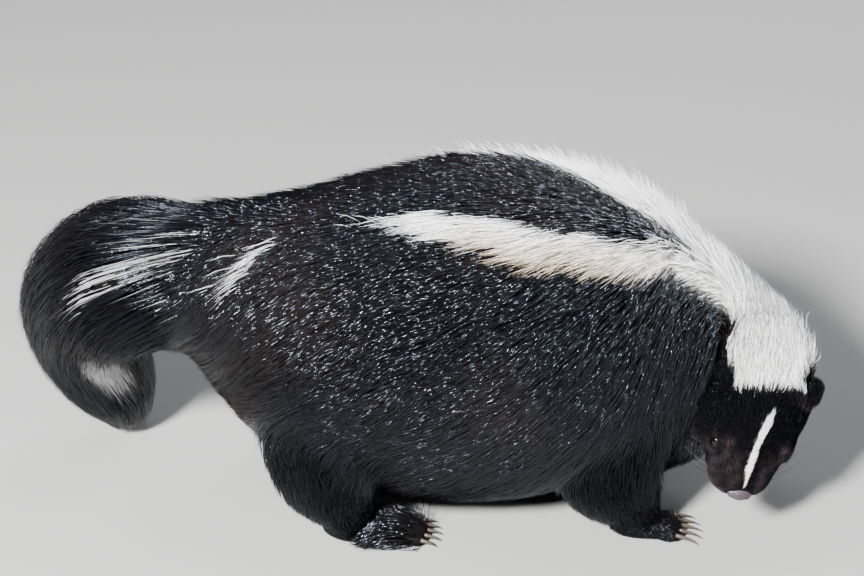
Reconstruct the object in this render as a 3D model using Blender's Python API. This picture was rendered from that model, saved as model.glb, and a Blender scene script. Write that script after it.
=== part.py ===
"""A striped skunk as a still, life-size model.

It stands with its back humped, its head turned down to its right, and its tail curled down behind it.
+X is forward, +Y is its left side, +Z is up. Every node is one closed solid."""

import math

import bmesh
import bpy
import numpy as np
from mathutils import Matrix, Vector

# Driving sizes, in metres.
MM = 0.001
GAP = 0.3 * MM

# Stations of the trunk, from the rump to the back of the head: the centre's x, y and z, then the half width,
# and the half height above and below the centre, out to the tips of the coat. In millimetres.
TRUNK = [
    (-142, 6, 138, 24, 28, 16),
    (-132, 5, 135, 42, 48, 28),
    (-112, 4, 128, 60, 60, 46),
    (-76, 3, 119, 84, 72, 86),
    (-26, 4, 114, 94, 87, 106),
    (30, 5, 113, 97, 96, 109),
    (80, 5, 110, 91, 93, 105),
    (116, 4, 105, 80, 82, 96),
    (146, 2, 102, 65, 65, 84),
    (170, -3, 100, 52, 48, 72),
    (187, -11, 98, 43, 36, 56),
    (197, -19, 94, 37, 27, 42),
]
NECK_FROM = 0.79  # share of the trunk's length where the neck begins

# Stations of the tail, from its root to its tip, with the coat's half width, upper and lower half height.
TAIL = [
    (-100, 5, 130, 38, 52, 26),
    (-128, 8, 132, 44, 54, 32),
    (-152, 14, 132, 50, 52, 40),
    (-178, 26, 127, 54, 54, 44),
    (-198, 41, 107, 50, 53, 40),
    (-205, 54, 78, 44, 43, 34),
    (-200, 62, 49, 38, 35, 30),
    (-194, 66, 28, 32, 29, 27),
    (-191, 68, 14, 25, 22, 22),
]
TAIL_PARTS = {"tail_base": (0.0, 0.36), "tail_middle": (0.36, 0.68), "tail_tip": (0.68, 1.0)}

# The head's frame: the point between the ears' roots, the way the nose points, and the tilt of the head.
HEAD_AT = Vector((186.0, -24.0, 105.0)) * MM
HEAD_FORWARD = Vector((-0.13, -0.58, -0.81)).normalized()
HEAD_ROLL = math.radians(-30)
# Stations of the head along its own axis: how far forward and up, half width, half height above and below.
HEAD = [
    (-16, 0, 30, 24, 24),
    (-4, 0, 36, 28, 28),
    (12, 0, 39, 29, 29),
    (28, 0, 37, 26, 27),
    (41, -1, 32, 22, 23),
    (52, -2, 26.5, 18, 19),
    (60, -3, 22.5, 14.5, 16),
    (67, -4, 19.5, 12, 14),
    (73, -5, 17, 10.5, 12.5),
    (77, -5.5, 12.5, 7.5, 9.5),
    (79, -6, 7.5, 4.5, 6),
]
NOSE_AT = (76.5, 0, -3)
NOSE_SIZE = (6.5, 7.5, 5)
NOSTRIL_AT = (5.2, 3.6, -0.6)  # from the middle of the nose pad
NOSTRIL_SIZE = (2.6, 1.5, 1.3)
MOUTH_CORNER = (46, -14.5)  # how far forward the corners of the mouth lie, and how far up
MOUTH_FRONT = (78, -10.5)
LIP_RADIUS = 2.1
MOUTH_RADIUS = 0.95
MOUTH_OUT = 1.5  # how far proud of the muzzle the mouth's line is cut
EYE_AT = (51, 21.2, 5.3)
EYE_RADIUS = 4.6
EYE_LOOK = (0.42, 0.88, 0.22)
LID_SIZE = (5.7, 6.8, 5.5)  # the mound of the lids: out from the eye, between its corners, and up
OPENING_SIZE = (8, 5.4, 3.1)  # the opening between the lids, in the same order
OPENING_OUT = 4.2  # how far out from the middle of the eye the opening is centred
EAR_AT = (18, 28.5, 13)
EAR_SIZE = (6, 8.5, 9.5)
EAR_TURN = (55, 30, 45)  # degrees the ear is turned out to the side, leans out from the head and is laid back
CUP_AT = (4.5, 0, 2)  # the middle of the hollow, from the middle of the ear
CUP_SIZE = (4.3, 5.9, 6.3)

# The legs: stations down each leg, with the lateral half width and the half depth in front and behind.
HIND_LEG = [
    (-72, 34, 106, 22, 34, 26),
    (-66, 46, 84, 29, 41, 36),
    (-60, 52, 58, 27, 38, 38),
    (-56, 53, 34, 21, 26, 30),
    (-50, 52, 16, 16, 19, 17),
    (-50, 51, 5, 13, 16, 13),
]
FRONT_LEG = [
    (112, 34, 104, 20, 30, 32),
    (112, 44, 78, 24, 30, 40),
    (107, 47, 50, 22, 28, 42),
    (113, 47, 28, 18, 22, 33),
    (120, 46, 13, 14, 15, 17),
    (121, 46, 4, 12, 13, 11),
]
HIND_FOOT = {"heel": (-58, 51), "toes": (-8, 52), "half_width": 12, "height": 15, "claw": 8}
FRONT_FOOT = {"heel": (108, 46), "toes": (140, 47), "half_width": 12, "height": 13, "claw": 13}
TOES = 5
TOE_SIZE = (8.5 * MM, 3 * MM, 4.2 * MM)
TOE_FAN = 0.22  # how much the outer toes turn outwards and stand back
CLAW_BEND = 0.35  # how far a claw's point drops, as a share of its length
CLAW_RADIUS = 1.5 * MM
CLAW_SIDES = 5
FAR_STEP = {"leg_hind": -22, "leg_front": -14}  # how far behind its fellow each left leg stands

# The coat: how deep the core lies under the tips, how far a lock's root is sunk in it, and the rows of locks.
# A row is its share along the form, how many locks stand round it, and their length, width and thickness.
TRUNK_COAT = 9 * MM
TAIL_CORE = 0.5  # the tail's core, as a share of the width of its coat
ROOT_SUNK = 5 * MM
TORSO_ROWS = [(0.19, 7), (0.29, 9), (0.385, 10), (0.475, 10), (0.565, 10), (0.655, 10), (0.745, 9)]
TORSO_LOCK = (78 * MM, 42 * MM, 5 * MM)
NECK_ROWS = [(0.83, 8), (0.92, 7)]
NECK_LOCK = (58 * MM, 38 * MM, 4.5 * MM)
TAIL_ROWS = {
    "tail_base": [(0.10, 8), (0.23, 9)],
    "tail_middle": [(0.38, 8), (0.51, 8)],
    "tail_tip": [(0.69, 7), (0.80, 5)],
}
TAIL_LOCK = (78 * MM, 36 * MM, 6 * MM)
LOCK_STEPS = 3  # stretches along a lock
LOCK_WIDE, LOCK_NARROW = 1.2, 0.6  # a lock's width at its root and at its tip, against its mean
LOCK_SPREAD = 0.18  # how much locks differ from one another
LOCK_SHIFT = (0.15, 0.0045)  # how far a lock strays from its place round the form, and along it
TRUNK_RISE, TAIL_RISE = 1.6, 1.4  # how soon a lock rises from the core to the tips of the coat
TIP_DEPTH = 0.9 * MM  # how deep the middle of a lock's tip lies in the outline of the coat
FALL, FALL_FRONT, FALL_RUMP = 12, 30, 22  # degrees the hair falls: on the flank, in front, at the rump
SHARP = 3  # how much more a cutter grows at the thin edges and the points of a lock than on its faces

# How finely the solids are faceted: rings along a form and sides round it.
TORSO_RINGS, NECK_RINGS, TRUNK_SIDES = 12, 4, 16
TAIL_RINGS, TAIL_SIDES = 4, 10
HEAD_RINGS, HEAD_SIDES = 14, 18
LEG_RINGS, LEG_SIDES = 7, 12

FUR_BLACK = ("fur_black", (0.012, 0.011, 0.012), 0.55)
EYE_BLACK = ("eye", (0.01, 0.008, 0.008), 0.08)
NOSE_SKIN = ("nose_skin", (0.12, 0.08, 0.09), 0.45)


def clear_scene():
    for obj in list(bpy.data.objects):
        bpy.data.objects.remove(obj)


def material(name, colour, roughness):
    made = bpy.data.materials.get(name) or bpy.data.materials.new(name)
    made.use_nodes = True
    shader = made.node_tree.nodes["Principled BSDF"]
    shader.inputs["Base Color"].default_value = (*colour, 1)
    shader.inputs["Roughness"].default_value = roughness
    shader.inputs["Metallic"].default_value = 0
    return made


def add_object(name, shape, finish=FUR_BLACK):
    """Puts a bmesh in the scene as an object."""
    bmesh.ops.recalc_face_normals(shape, faces=shape.faces)
    mesh = bpy.data.meshes.new(name)
    shape.to_mesh(mesh)
    shape.free()
    mesh.shade_smooth()
    mesh.materials.append(material(*finish))
    obj = bpy.data.objects.new(name, mesh)
    bpy.context.scene.collection.objects.link(obj)
    return obj


def through(rows, share):
    """A smooth curve through rows of numbers, read at a share from 0 to 1 of its length."""
    table = np.array(rows, float)
    steps = np.linalg.norm(np.diff(table[:, :3], axis=0), axis=1)
    knots = np.concatenate([[0], np.cumsum(steps)]) / steps.sum()
    slopes = np.gradient(table, knots, axis=0)
    share = min(max(share, 0), 1)
    i = min(int(np.searchsorted(knots, share, side="right")) - 1, len(knots) - 2)
    span = knots[i + 1] - knots[i]
    t = (share - knots[i]) / span
    return (
        (2 * t**3 - 3 * t**2 + 1) * table[i]
        + (t**3 - 2 * t**2 + t) * span * slopes[i]
        + (-2 * t**3 + 3 * t**2) * table[i + 1]
        + (t**3 - t**2) * span * slopes[i + 1]
    )


class Tube:
    """A form round a curved line. Angle 0 is its top, a quarter turn its left side, half a turn its belly."""

    def __init__(self, rows, side=None):
        self.rows = rows
        self.side = side
        points = np.array([through(rows, i / 200)[:3] for i in range(201)])
        self.length = np.linalg.norm(np.diff(points, axis=0), axis=1).sum() * MM

    def frame(self, share):
        """The centre, the way along, the left and the up, and the three half sizes."""
        row = through(self.rows, share)
        step = 0.004
        ahead = through(self.rows, share + step)[:3] - through(self.rows, share - step)[:3]
        along = Vector(ahead).normalized()
        if self.side is None:
            left = Vector((0, 0, 1)).cross(along).normalized()
        else:
            left = (self.side - self.side.dot(along) * along).normalized()
        return Vector(row[:3]) * MM, along, left, along.cross(left), [x * MM for x in row[3:]]

    def on_ring(self, frame, angle, grow=0.0):
        centre, _, left, up, (wide, above, below) = frame
        tall = above if math.cos(angle) > 0 else below
        return centre + left * (wide + grow) * math.sin(angle) + up * (tall + grow) * math.cos(angle)

    def shape(self, rings, sides, start=0.0, end=1.0, grow=0.0, depth=0.0):
        """A closed bmesh of the form between two shares of its length, depth inside its outline."""
        made = bmesh.new()
        loops = []
        for i in range(rings + 1):
            frame = self.frame(start + (end - start) * i / rings)
            corners = [self.on_ring(frame, 2 * math.pi * k / sides, grow - depth) for k in range(sides)]
            end_grow = frame[1] * grow * ((i == rings) - (i == 0))
            loops.append([made.verts.new(corner + end_grow) for corner in corners])
        for a, b in zip(loops, loops[1:]):
            for k in range(sides):
                made.faces.new((a[k], a[(k + 1) % sides], b[(k + 1) % sides], b[k]))
        made.faces.new(loops[0])
        made.faces.new(loops[-1])
        bmesh.ops.recalc_face_normals(made, faces=made.faces)
        bmesh.ops.triangulate(made, faces=made.faces, quad_method="FIXED")
        return made


def ball(centre, radii, turn=None, sides=16, rings=10):
    """An ellipsoid; turn is a rotation matrix."""
    made = bmesh.new()
    bmesh.ops.create_uvsphere(made, u_segments=sides, v_segments=rings, radius=1)
    place = Matrix.Translation(centre) @ (turn or Matrix()).to_4x4() @ Matrix.Diagonal((*radii, 1))
    bmesh.ops.transform(made, matrix=place, verts=made.verts)
    return made


def collect(name, objects):
    held = bpy.data.collections.new(name)
    for obj in objects:
        bpy.context.scene.collection.objects.unlink(obj)
        held.objects.link(obj)
    bpy.context.scene.collection.children.link(held)
    return held


def combine(obj, others, operation, solver="MANIFOLD"):
    """Joins the other objects to this one, or cuts them out of it, and removes them."""
    held = collect(obj.name + "_pieces", others)
    step = obj.modifiers.new("combine", "BOOLEAN")
    step.operation = operation
    step.operand_type = "COLLECTION"
    step.collection = held
    step.solver = solver
    apply_modifiers(obj)
    for other in others:
        bpy.data.objects.remove(other)
    bpy.data.collections.remove(held)
    keep_largest(obj)
    return obj


def apply_modifiers(obj):
    graph = bpy.context.evaluated_depsgraph_get()
    graph.update()
    mesh = bpy.data.meshes.new_from_object(obj.evaluated_get(graph), depsgraph=graph)
    obj.modifiers.clear()
    obj.data = mesh


def keep_largest(obj):
    """Keeps the closed surface with the largest volume."""
    shape = bmesh.new()
    shape.from_mesh(obj.data)
    bmesh.ops.remove_doubles(shape, verts=shape.verts, dist=0.0002 * MM)
    left = set(shape.faces)
    bodies = []
    while left:
        body, front = set(), [left.pop()]
        while front:
            face = front.pop()
            body.add(face)
            for edge in face.edges:
                for other in edge.link_faces:
                    if other in left:
                        left.remove(other)
                        front.append(other)
        bodies.append(body)
    largest = max(bodies, key=lambda body: sum(face.calc_area() for face in body))
    loose = [face for body in bodies if body is not largest for face in body]
    bmesh.ops.delete(shape, geom=loose, context="FACES")
    bmesh.ops.triangulate(shape, faces=shape.faces)
    shape.to_mesh(obj.data)
    shape.free()


def head_matrix():
    """From the head's own frame, +X to the nose and +Z up, to the model's."""
    side = HEAD_FORWARD.cross(Vector((0, 0, -1))).normalized()
    up = HEAD_FORWARD.cross(side)
    turn = Matrix((HEAD_FORWARD, side, up)).transposed()
    roll = Matrix.Rotation(HEAD_ROLL, 3, "X")
    return Matrix.Translation(HEAD_AT) @ (turn @ roll).to_4x4()


def in_head(point, side=1):
    return head_matrix() @ (Vector((point[0], point[1] * side, point[2])) * MM)


def head_turn():
    return head_matrix().to_3x3()


def lock(path, width, thickness, grow=0.0):
    """A flat lock, pointed at both ends, along a path of points, each with the way out from the body."""
    made = bmesh.new()
    loops = []
    for i in range(1, len(path) - 1):
        point, out = path[i]
        along = (path[i + 1][0] - path[i - 1][0]).normalized()
        across = along.cross(out).normalized()
        out = across.cross(along)
        share = i / (len(path) - 1)
        taper = LOCK_WIDE + (LOCK_NARROW - LOCK_WIDE) * share
        wide = width / 2 * taper + grow * SHARP
        thick = thickness / 2 * taper + grow
        corners = [point + across * wide, point + out * thick, point - across * wide, point - out * thick]
        loops.append([made.verts.new(corner) for corner in corners])
    ends = []
    for end, inner in ((path[0][0], path[1][0]), (path[-1][0], path[-2][0])):
        ends.append(made.verts.new(end + (end - inner).normalized() * grow * SHARP))
    for k in range(4):
        made.faces.new((ends[0], loops[0][k], loops[0][(k + 1) % 4]))
        made.faces.new((loops[-1][k], ends[1], loops[-1][(k + 1) % 4]))
        for a, b in zip(loops, loops[1:]):
            made.faces.new((a[k], b[k], b[(k + 1) % 4], a[(k + 1) % 4]))
    bmesh.ops.recalc_face_normals(made, faces=made.faces)
    bmesh.ops.triangulate(made, faces=made.faces, quad_method="FIXED")
    return made


def lock_path(form, share, angle, length, fall, depth_of):
    """Walks over a form from a root, the way the hair lies, and rises from the core to the tips of the coat.
    fall is how steeply the hair runs down the flank, and a negative length runs towards the form's start."""
    path = []
    room = (1 - share if length > 0 else share) * form.length
    length = math.copysign(min(abs(length), room), length)
    for i in range(LOCK_STEPS + 1):
        part = i / LOCK_STEPS
        at = share + length * math.cos(fall) * part / form.length
        frame = form.frame(at)
        reach = sum(frame[4]) / 3
        turn = abs(length) * math.sin(fall) * part / reach
        here = angle + turn * math.copysign(1, math.sin(angle)) * min(1, 2 * abs(math.sin(angle)))
        point = form.on_ring(frame, here, -depth_of(part, frame[4]))
        path.append((point, (point - frame[0]).normalized()))
    return path


def trunk_depth(part, _):
    """How deep under the tips a lock of the trunk runs, from its root to its tip."""
    return (TRUNK_COAT + ROOT_SUNK) * (1 - part) ** TRUNK_RISE + TIP_DEPTH


def tail_depth(part, sizes):
    """The same on the tail, where the hair stands out from the thin core."""
    wide = sum(sizes) / 3
    return (wide * (1 - TAIL_CORE) + ROOT_SUNK) * (1 - part) ** TAIL_RISE + TIP_DEPTH


def trunk_fall(share, angle):
    """The hair runs back along the spine, and falls more and more towards the shoulder and down the flank."""
    return math.radians(FALL + FALL_FRONT * share + FALL_RUMP * (1 - share) ** 6) * abs(math.sin(angle))


def lock_pieces(form, rows, sizes, way, seed, fall_of, depth_of, grow=0.0):
    """Rows of locks round a form, each row turned by half a step against the one before."""
    rng = np.random.default_rng(seed)
    made = []
    for row, (share, count) in enumerate(rows):
        for k in range(count):
            vary = 1 + LOCK_SPREAD * rng.uniform(-1, 1, 3)
            shift = rng.uniform(-1, 1, 2) * LOCK_SHIFT
            angle = 2 * math.pi * (k + 0.5 * (row % 2) + 0.25 + shift[0]) / count
            angle = (angle + math.pi) % (2 * math.pi) - math.pi
            start = share + shift[1]
            path = lock_path(form, start, angle, way * sizes[0] * vary[0], fall_of(start, angle), depth_of)
            made.append(add_object("lock", lock(path, sizes[1] * vary[1], sizes[2] * vary[2], grow)))
    return made


def coat(name, core, locks):
    return combine(add_object(name, core), locks, "UNION")


def torso_form(name, grow=0.0):
    trunk = Tube(TRUNK)
    core = trunk.shape(TORSO_RINGS, TRUNK_SIDES, 0, NECK_FROM, grow, TRUNK_COAT)
    locks = lock_pieces(trunk, TORSO_ROWS, TORSO_LOCK, -1, 11, trunk_fall, trunk_depth, grow)
    return coat(name, core, locks)


def neck_form(name, grow=0.0):
    trunk = Tube(TRUNK)
    core = trunk.shape(NECK_RINGS, TRUNK_SIDES, NECK_FROM, 1, grow, TRUNK_COAT)
    locks = lock_pieces(trunk, NECK_ROWS, NECK_LOCK, -1, 12, trunk_fall, trunk_depth, grow)
    return coat(name, core, locks)


def tail_form(name, grow=0.0):
    tail = Tube(TAIL, side=Vector((0, -1, 0)))
    slim = Tube([(*row[:3], *(x * TAIL_CORE for x in row[3:])) for row in TAIL], side=Vector((0, -1, 0)))
    start, end = TAIL_PARTS[name.replace("_cutter", "")]
    core = slim.shape(TAIL_RINGS, TAIL_SIDES, start, end, grow)
    rows = TAIL_ROWS[name.replace("_cutter", "")]
    locks = lock_pieces(tail, rows, TAIL_LOCK, 1, 13, lambda *_: 0.0, tail_depth, grow)
    return coat(name, core, locks)


def cutters(form, name):
    """A form twice, as it is and grown by the gap, to be cut out of its neighbours."""
    return [form(name + "_cutter"), form(name + "_cutter", GAP)]


def head_form():
    return Tube([(a, 0, h, wide, above, below) for a, h, wide, above, below in HEAD])


def head_shape(grow=0.0):
    made = head_form().shape(HEAD_RINGS, HEAD_SIDES, grow=grow)
    bmesh.ops.transform(made, matrix=head_matrix(), verts=made.verts)
    return made


def mouth_path(out):
    """The line of the mouth, from under one eye round the lips to the other; out is how far proud it lies."""
    table = np.array(HEAD, float)
    half = []
    for share in np.linspace(0, 1, 7):
        forward, height = np.array(MOUTH_CORNER) * (1 - share) + np.array(MOUTH_FRONT) * share
        up, wide, below = (np.interp(forward, table[:, 0], table[:, k]) for k in (1, 2, 4))
        drop = min((up - height) / below, 0.93)
        normal = np.array([math.sqrt(1 - drop**2) / wide, -drop / below])
        normal /= np.linalg.norm(normal)
        side, level = wide * math.sqrt(1 - drop**2) + out * normal[0], up - below * drop + out * normal[1]
        half.append((forward + out * share, side, level))
    middle = (MOUTH_FRONT[0] + 1 + out, 0, half[-1][2])
    return [in_head(p) for p in half + [middle]] + [in_head(p, -1) for p in half[::-1]]


def swept(path, radius, sides=6):
    """A round rod along a path, thin at its ends."""
    made = bmesh.new()
    up = head_turn() @ Vector((0, 0, 1))
    loops = []
    for i, point in enumerate(path):
        along = (path[min(i + 1, len(path) - 1)] - path[max(i - 1, 0)]).normalized()
        out = along.cross(up).normalized()
        size = radius * (0.4 if i in (0, len(path) - 1) else 1)
        turns = [2 * math.pi * (k + 0.3) / sides for k in range(sides)]
        loops.append([made.verts.new(point + (out * math.cos(t) + up * math.sin(t)) * size) for t in turns])
    for a, b in zip(loops, loops[1:]):
        for k in range(sides):
            made.faces.new((a[k], a[(k + 1) % sides], b[(k + 1) % sides], b[k]))
    made.faces.new(loops[0])
    made.faces.new(loops[-1])
    bmesh.ops.recalc_face_normals(made, faces=made.faces)
    return made


def eye_turn(side):
    """The turn of an eye: its first axis looks out, its second runs between the corners of the lids."""
    look = (head_turn() @ Vector((EYE_LOOK[0], EYE_LOOK[1] * side, EYE_LOOK[2]))).normalized()
    across = head_turn() @ Vector((1, 0, 0))
    across = (across - look * across.dot(look)).normalized()
    return Matrix((look, across, look.cross(across))).transposed()


def lids(side):
    """The mound of both lids over an eye."""
    return ball(in_head(EYE_AT, side), [x * MM for x in LID_SIZE], eye_turn(side), 12, 8)


def lid_opening(side):
    turn = eye_turn(side)
    centre = in_head(EYE_AT, side) + turn @ Vector((OPENING_OUT * MM, 0, 0))
    return ball(centre, [x * MM for x in OPENING_SIZE], turn, 12, 8)


def build_head():
    """The head with lips and lids, cut by the mouth, the nose pad and the eyes."""
    head = add_object("head", head_shape())
    ridges = [add_object("lids", lids(side)) for side in (1, -1)]
    ridges.append(add_object("lips", swept(mouth_path(0), LIP_RADIUS * MM)))
    combine(head, ridges, "UNION")
    cuts = [add_object("mouth", swept(mouth_path(MOUTH_OUT), MOUTH_RADIUS * MM)), build_nose(GAP)]
    for side in (1, -1):
        cuts += [build_eye(side, GAP), add_object("opening", lid_opening(side))]
    return combine(head, cuts, "DIFFERENCE")


def build_eye(side, grow=0.0):
    name = "eye_left" if side > 0 else "eye_right"
    radius = EYE_RADIUS * MM + grow
    return add_object(name, ball(in_head(EYE_AT, side), (radius,) * 3, head_turn(), 12, 8), EYE_BLACK)


def build_nose(grow=0.0):
    """The nose pad; with grow it is a plain cutter, otherwise it has its nostrils."""
    size = [x * MM + grow for x in NOSE_SIZE]
    nose = add_object("nose", ball(in_head(NOSE_AT), size, head_turn(), 12, 8), NOSE_SKIN)
    if grow:
        return nose
    holes = []
    for side in (1, -1):
        place = in_head((NOSE_AT[0] + NOSTRIL_AT[0], NOSTRIL_AT[1], NOSE_AT[2] + NOSTRIL_AT[2]), side)
        hole = ball(place, [x * MM for x in NOSTRIL_SIZE], head_turn(), 6, 5)
        holes.append(add_object("nostril", hole, NOSE_SKIN))
    return combine(nose, holes, "DIFFERENCE")


def ear_turn(side):
    """Faces the ear's cup forward and out, and leans the ear out from the head and back."""
    out, lean, back = (math.radians(degrees) for degrees in EAR_TURN)
    leant = Matrix.Rotation(-side * lean, 3, "X") @ Matrix.Rotation(-back, 3, "Y")
    return head_turn() @ leant @ Matrix.Rotation(side * out, 3, "Z")


def ear_ball(side, grow=0.0):
    """The ear's outer form."""
    return ball(in_head(EAR_AT, side), [x * MM + grow for x in EAR_SIZE], ear_turn(side), 12, 8)


def build_ear(side):
    name = "ear_left" if side > 0 else "ear_right"
    ear = add_object(name, ear_ball(side))
    hollow = in_head(EAR_AT, side) + ear_turn(side) @ (Vector(CUP_AT) * MM)
    cup = ball(hollow, [x * MM for x in CUP_SIZE], ear_turn(side), 12, 6)
    return combine(ear, [add_object("cup", cup)], "DIFFERENCE")


def ear_cutters():
    return [add_object("ear_cutter", ear_ball(side, GAP)) for side in (1, -1)]


def claw(base, along, length, radius):
    """A curved, pointed claw."""
    made = bmesh.new()
    side = Vector((0, 0, 1)).cross(along).normalized()
    up = Vector((0, 0, 1))
    loops = []
    turns = [2 * math.pi * k / CLAW_SIDES for k in range(CLAW_SIDES)]
    for share in (0, 0.55):
        centre = base + along * length * share - up * length * CLAW_BEND * share**2
        size = radius * (1 - 0.6 * share)
        ring = [centre + (side * math.sin(t) + up * math.cos(t)) * size for t in turns]
        loops.append([made.verts.new(point) for point in ring])
    tip = made.verts.new(base + along * length - up * length * CLAW_BEND)
    a, b = loops
    for k in range(CLAW_SIDES):
        made.faces.new((a[k], a[(k + 1) % CLAW_SIDES], b[(k + 1) % CLAW_SIDES], b[k]))
        made.faces.new((b[k], b[(k + 1) % CLAW_SIDES], tip))
    made.faces.new(loops[0])
    bmesh.ops.recalc_face_normals(made, faces=made.faces)
    return made


def build_leg(name, rows, foot, side, step):
    rows = [(x + step, y * side, z, wide, front, back) for x, y, z, wide, front, back in rows]
    leg = add_object(name, Tube(rows, side=Vector((0, 1, 0))).shape(LEG_RINGS, LEG_SIDES))
    heel = Vector((foot["heel"][0] + step, foot["heel"][1] * side, 0)) * MM
    toes = Vector((foot["toes"][0] + step, foot["toes"][1] * side, 0)) * MM
    along = (toes - heel).normalized()
    across = Vector((0, 0, 1)).cross(along)
    width, height = foot["half_width"] * MM, foot["height"] * MM
    centre = (heel + toes) / 2 + Vector((0, 0, height * 0.42))  # low enough to be cut flat by the floor
    turn = Matrix((along, across, Vector((0, 0, 1)))).transposed()
    reach = (toes - heel).length / 2 + height * 0.5
    pieces = [add_object("sole", ball(centre, (reach, width, height * 0.6), turn, 10, 6))]
    for i in range(TOES):
        spread = (i / (TOES - 1) - 0.5) * 2
        point = toes + (across * 0.82 * spread - along * TOE_FAN * spread**2) * width
        way = (along + across * spread * TOE_FAN).normalized()
        toe_turn = Matrix((way, Vector((0, 0, 1)).cross(way), Vector((0, 0, 1)))).transposed()
        toe = ball(point + Vector((0, 0, TOE_SIZE[2] * 0.8)), TOE_SIZE, toe_turn, 6, 4)
        pieces.append(add_object("toe", toe))
        root = point + way * TOE_SIZE[0] * 0.7 + Vector((0, 0, TOE_SIZE[2] * 1.2))
        nail = claw(root, way, foot["claw"] * MM, CLAW_RADIUS)
        pieces.append(add_object("claw", nail))
    return combine(leg, pieces, "UNION")


def flatten_sole(obj):
    """Cuts the foot off level with the floor."""
    shape = bmesh.new()
    shape.from_mesh(obj.data)
    geometry = shape.verts[:] + shape.edges[:] + shape.faces[:]
    floor = {"plane_co": (0, 0, 0), "plane_no": (0, 0, -1)}
    cut = bmesh.ops.bisect_plane(shape, geom=geometry, clear_outer=True, **floor)
    rim = [e for e in cut["geom_cut"] if isinstance(e, bmesh.types.BMEdge)]
    bmesh.ops.contextual_create(shape, geom=rim)
    bmesh.ops.triangulate(shape, faces=shape.faces)
    shape.to_mesh(obj.data)
    shape.free()


def stand_at_origin():
    """Moves the model so that the middle of its footprint is the origin, on the floor."""
    points = [obj.matrix_world @ v.co for obj in bpy.context.scene.objects for v in obj.data.vertices]
    middle = [(min(p[i] for p in points) + max(p[i] for p in points)) / 2 for i in range(2)]
    for obj in bpy.context.scene.objects:
        obj.data.transform(Matrix.Translation((-middle[0], -middle[1], 0)))


def main():
    clear_scene()
    build_nose()
    for side in (1, -1):
        build_eye(side)
    build_head()
    for side in (1, -1):
        combine(build_ear(side), [add_object("head_cutter", head_shape(GAP))], "DIFFERENCE")
    neck = neck_form("neck")
    combine(neck, [add_object("head_cutter", head_shape(GAP))] + ear_cutters(), "DIFFERENCE")
    combine(torso_form("torso"), cutters(neck_form, "neck"), "DIFFERENCE")
    before, form = "torso", torso_form
    for name in TAIL_PARTS:
        combine(tail_form(name), cutters(form, before), "DIFFERENCE")
        before, form = name, tail_form
    for name, rows, foot in (("leg_hind", HIND_LEG, HIND_FOOT), ("leg_front", FRONT_LEG, FRONT_FOOT)):
        for word, side in (("left", 1), ("right", -1)):
            leg = build_leg(f"{name}_{word}", rows, foot, side, FAR_STEP[name] if side > 0 else 0)
            flatten_sole(leg)
            combine(leg, cutters(torso_form, "torso") + cutters(neck_form, "neck"), "DIFFERENCE")
    stand_at_origin()


main()
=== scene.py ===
# %% [markdown]
# # A striped skunk, life size
# The animal is small and heavy, with a humped back, a small pointed head and a plume of a tail. Nearly
# all that one sees of it is hair. So this lesson first makes one closed skin, then lays about 129,000
# small tufts over it, and only then turns to the bare places: eyes, lids, nose and claws.

# %% Open the frame
import math

import bmesh
import bpy
import numpy as np
from mathutils import Matrix, Vector
from mathutils.bvhtree import BVHTree
from mathutils.kdtree import KDTree


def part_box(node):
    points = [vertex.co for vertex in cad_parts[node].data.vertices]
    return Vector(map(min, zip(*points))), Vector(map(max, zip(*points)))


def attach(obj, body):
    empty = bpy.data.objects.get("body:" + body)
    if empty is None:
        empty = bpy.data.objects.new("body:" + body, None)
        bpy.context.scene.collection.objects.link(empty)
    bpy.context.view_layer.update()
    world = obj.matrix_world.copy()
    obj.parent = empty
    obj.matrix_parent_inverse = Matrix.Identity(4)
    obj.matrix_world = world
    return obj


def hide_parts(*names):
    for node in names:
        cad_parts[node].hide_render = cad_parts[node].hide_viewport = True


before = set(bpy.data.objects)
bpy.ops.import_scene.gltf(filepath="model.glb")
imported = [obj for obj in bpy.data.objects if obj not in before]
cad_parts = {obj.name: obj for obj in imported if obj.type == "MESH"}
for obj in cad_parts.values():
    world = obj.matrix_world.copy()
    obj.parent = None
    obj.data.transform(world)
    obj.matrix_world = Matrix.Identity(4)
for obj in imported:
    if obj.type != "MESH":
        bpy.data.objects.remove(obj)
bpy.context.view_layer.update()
MM = 0.001
print("solids", sorted(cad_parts))

# %% [markdown]
# The body is a set of soft tubes round bent lines: trunk, tail, head and four legs. Each is given by a
# few stations. A station holds the centre of the tube, its half width, and how far it reaches up and down
# from there, or forward and back on a leg, out to the tips of the coat. They are the sizes the solids
# were made with, so skin and coat can be laid inside the same outline.

# %% Stations of the body, in millimetres
TRUNK = [
    (-142, 6, 138, 24, 28, 16), (-132, 5, 135, 42, 48, 28), (-112, 4, 128, 60, 60, 46),
    (-76, 3, 119, 84, 72, 86), (-26, 4, 114, 94, 87, 106), (30, 5, 113, 97, 96, 109),
    (80, 5, 110, 91, 93, 105), (116, 4, 105, 80, 82, 96), (146, 2, 102, 65, 65, 84),
    (170, -3, 100, 52, 48, 72), (187, -11, 98, 43, 36, 56), (197, -19, 94, 37, 27, 42),
]
TAIL = [
    (-100, 5, 130, 38, 52, 26), (-128, 8, 132, 44, 54, 32), (-152, 14, 132, 50, 52, 40),
    (-178, 26, 127, 54, 54, 44), (-198, 41, 107, 50, 53, 40), (-205, 54, 78, 44, 43, 34),
    (-200, 62, 49, 38, 35, 30), (-194, 66, 28, 32, 29, 27), (-191, 68, 14, 25, 22, 22),
]
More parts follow.
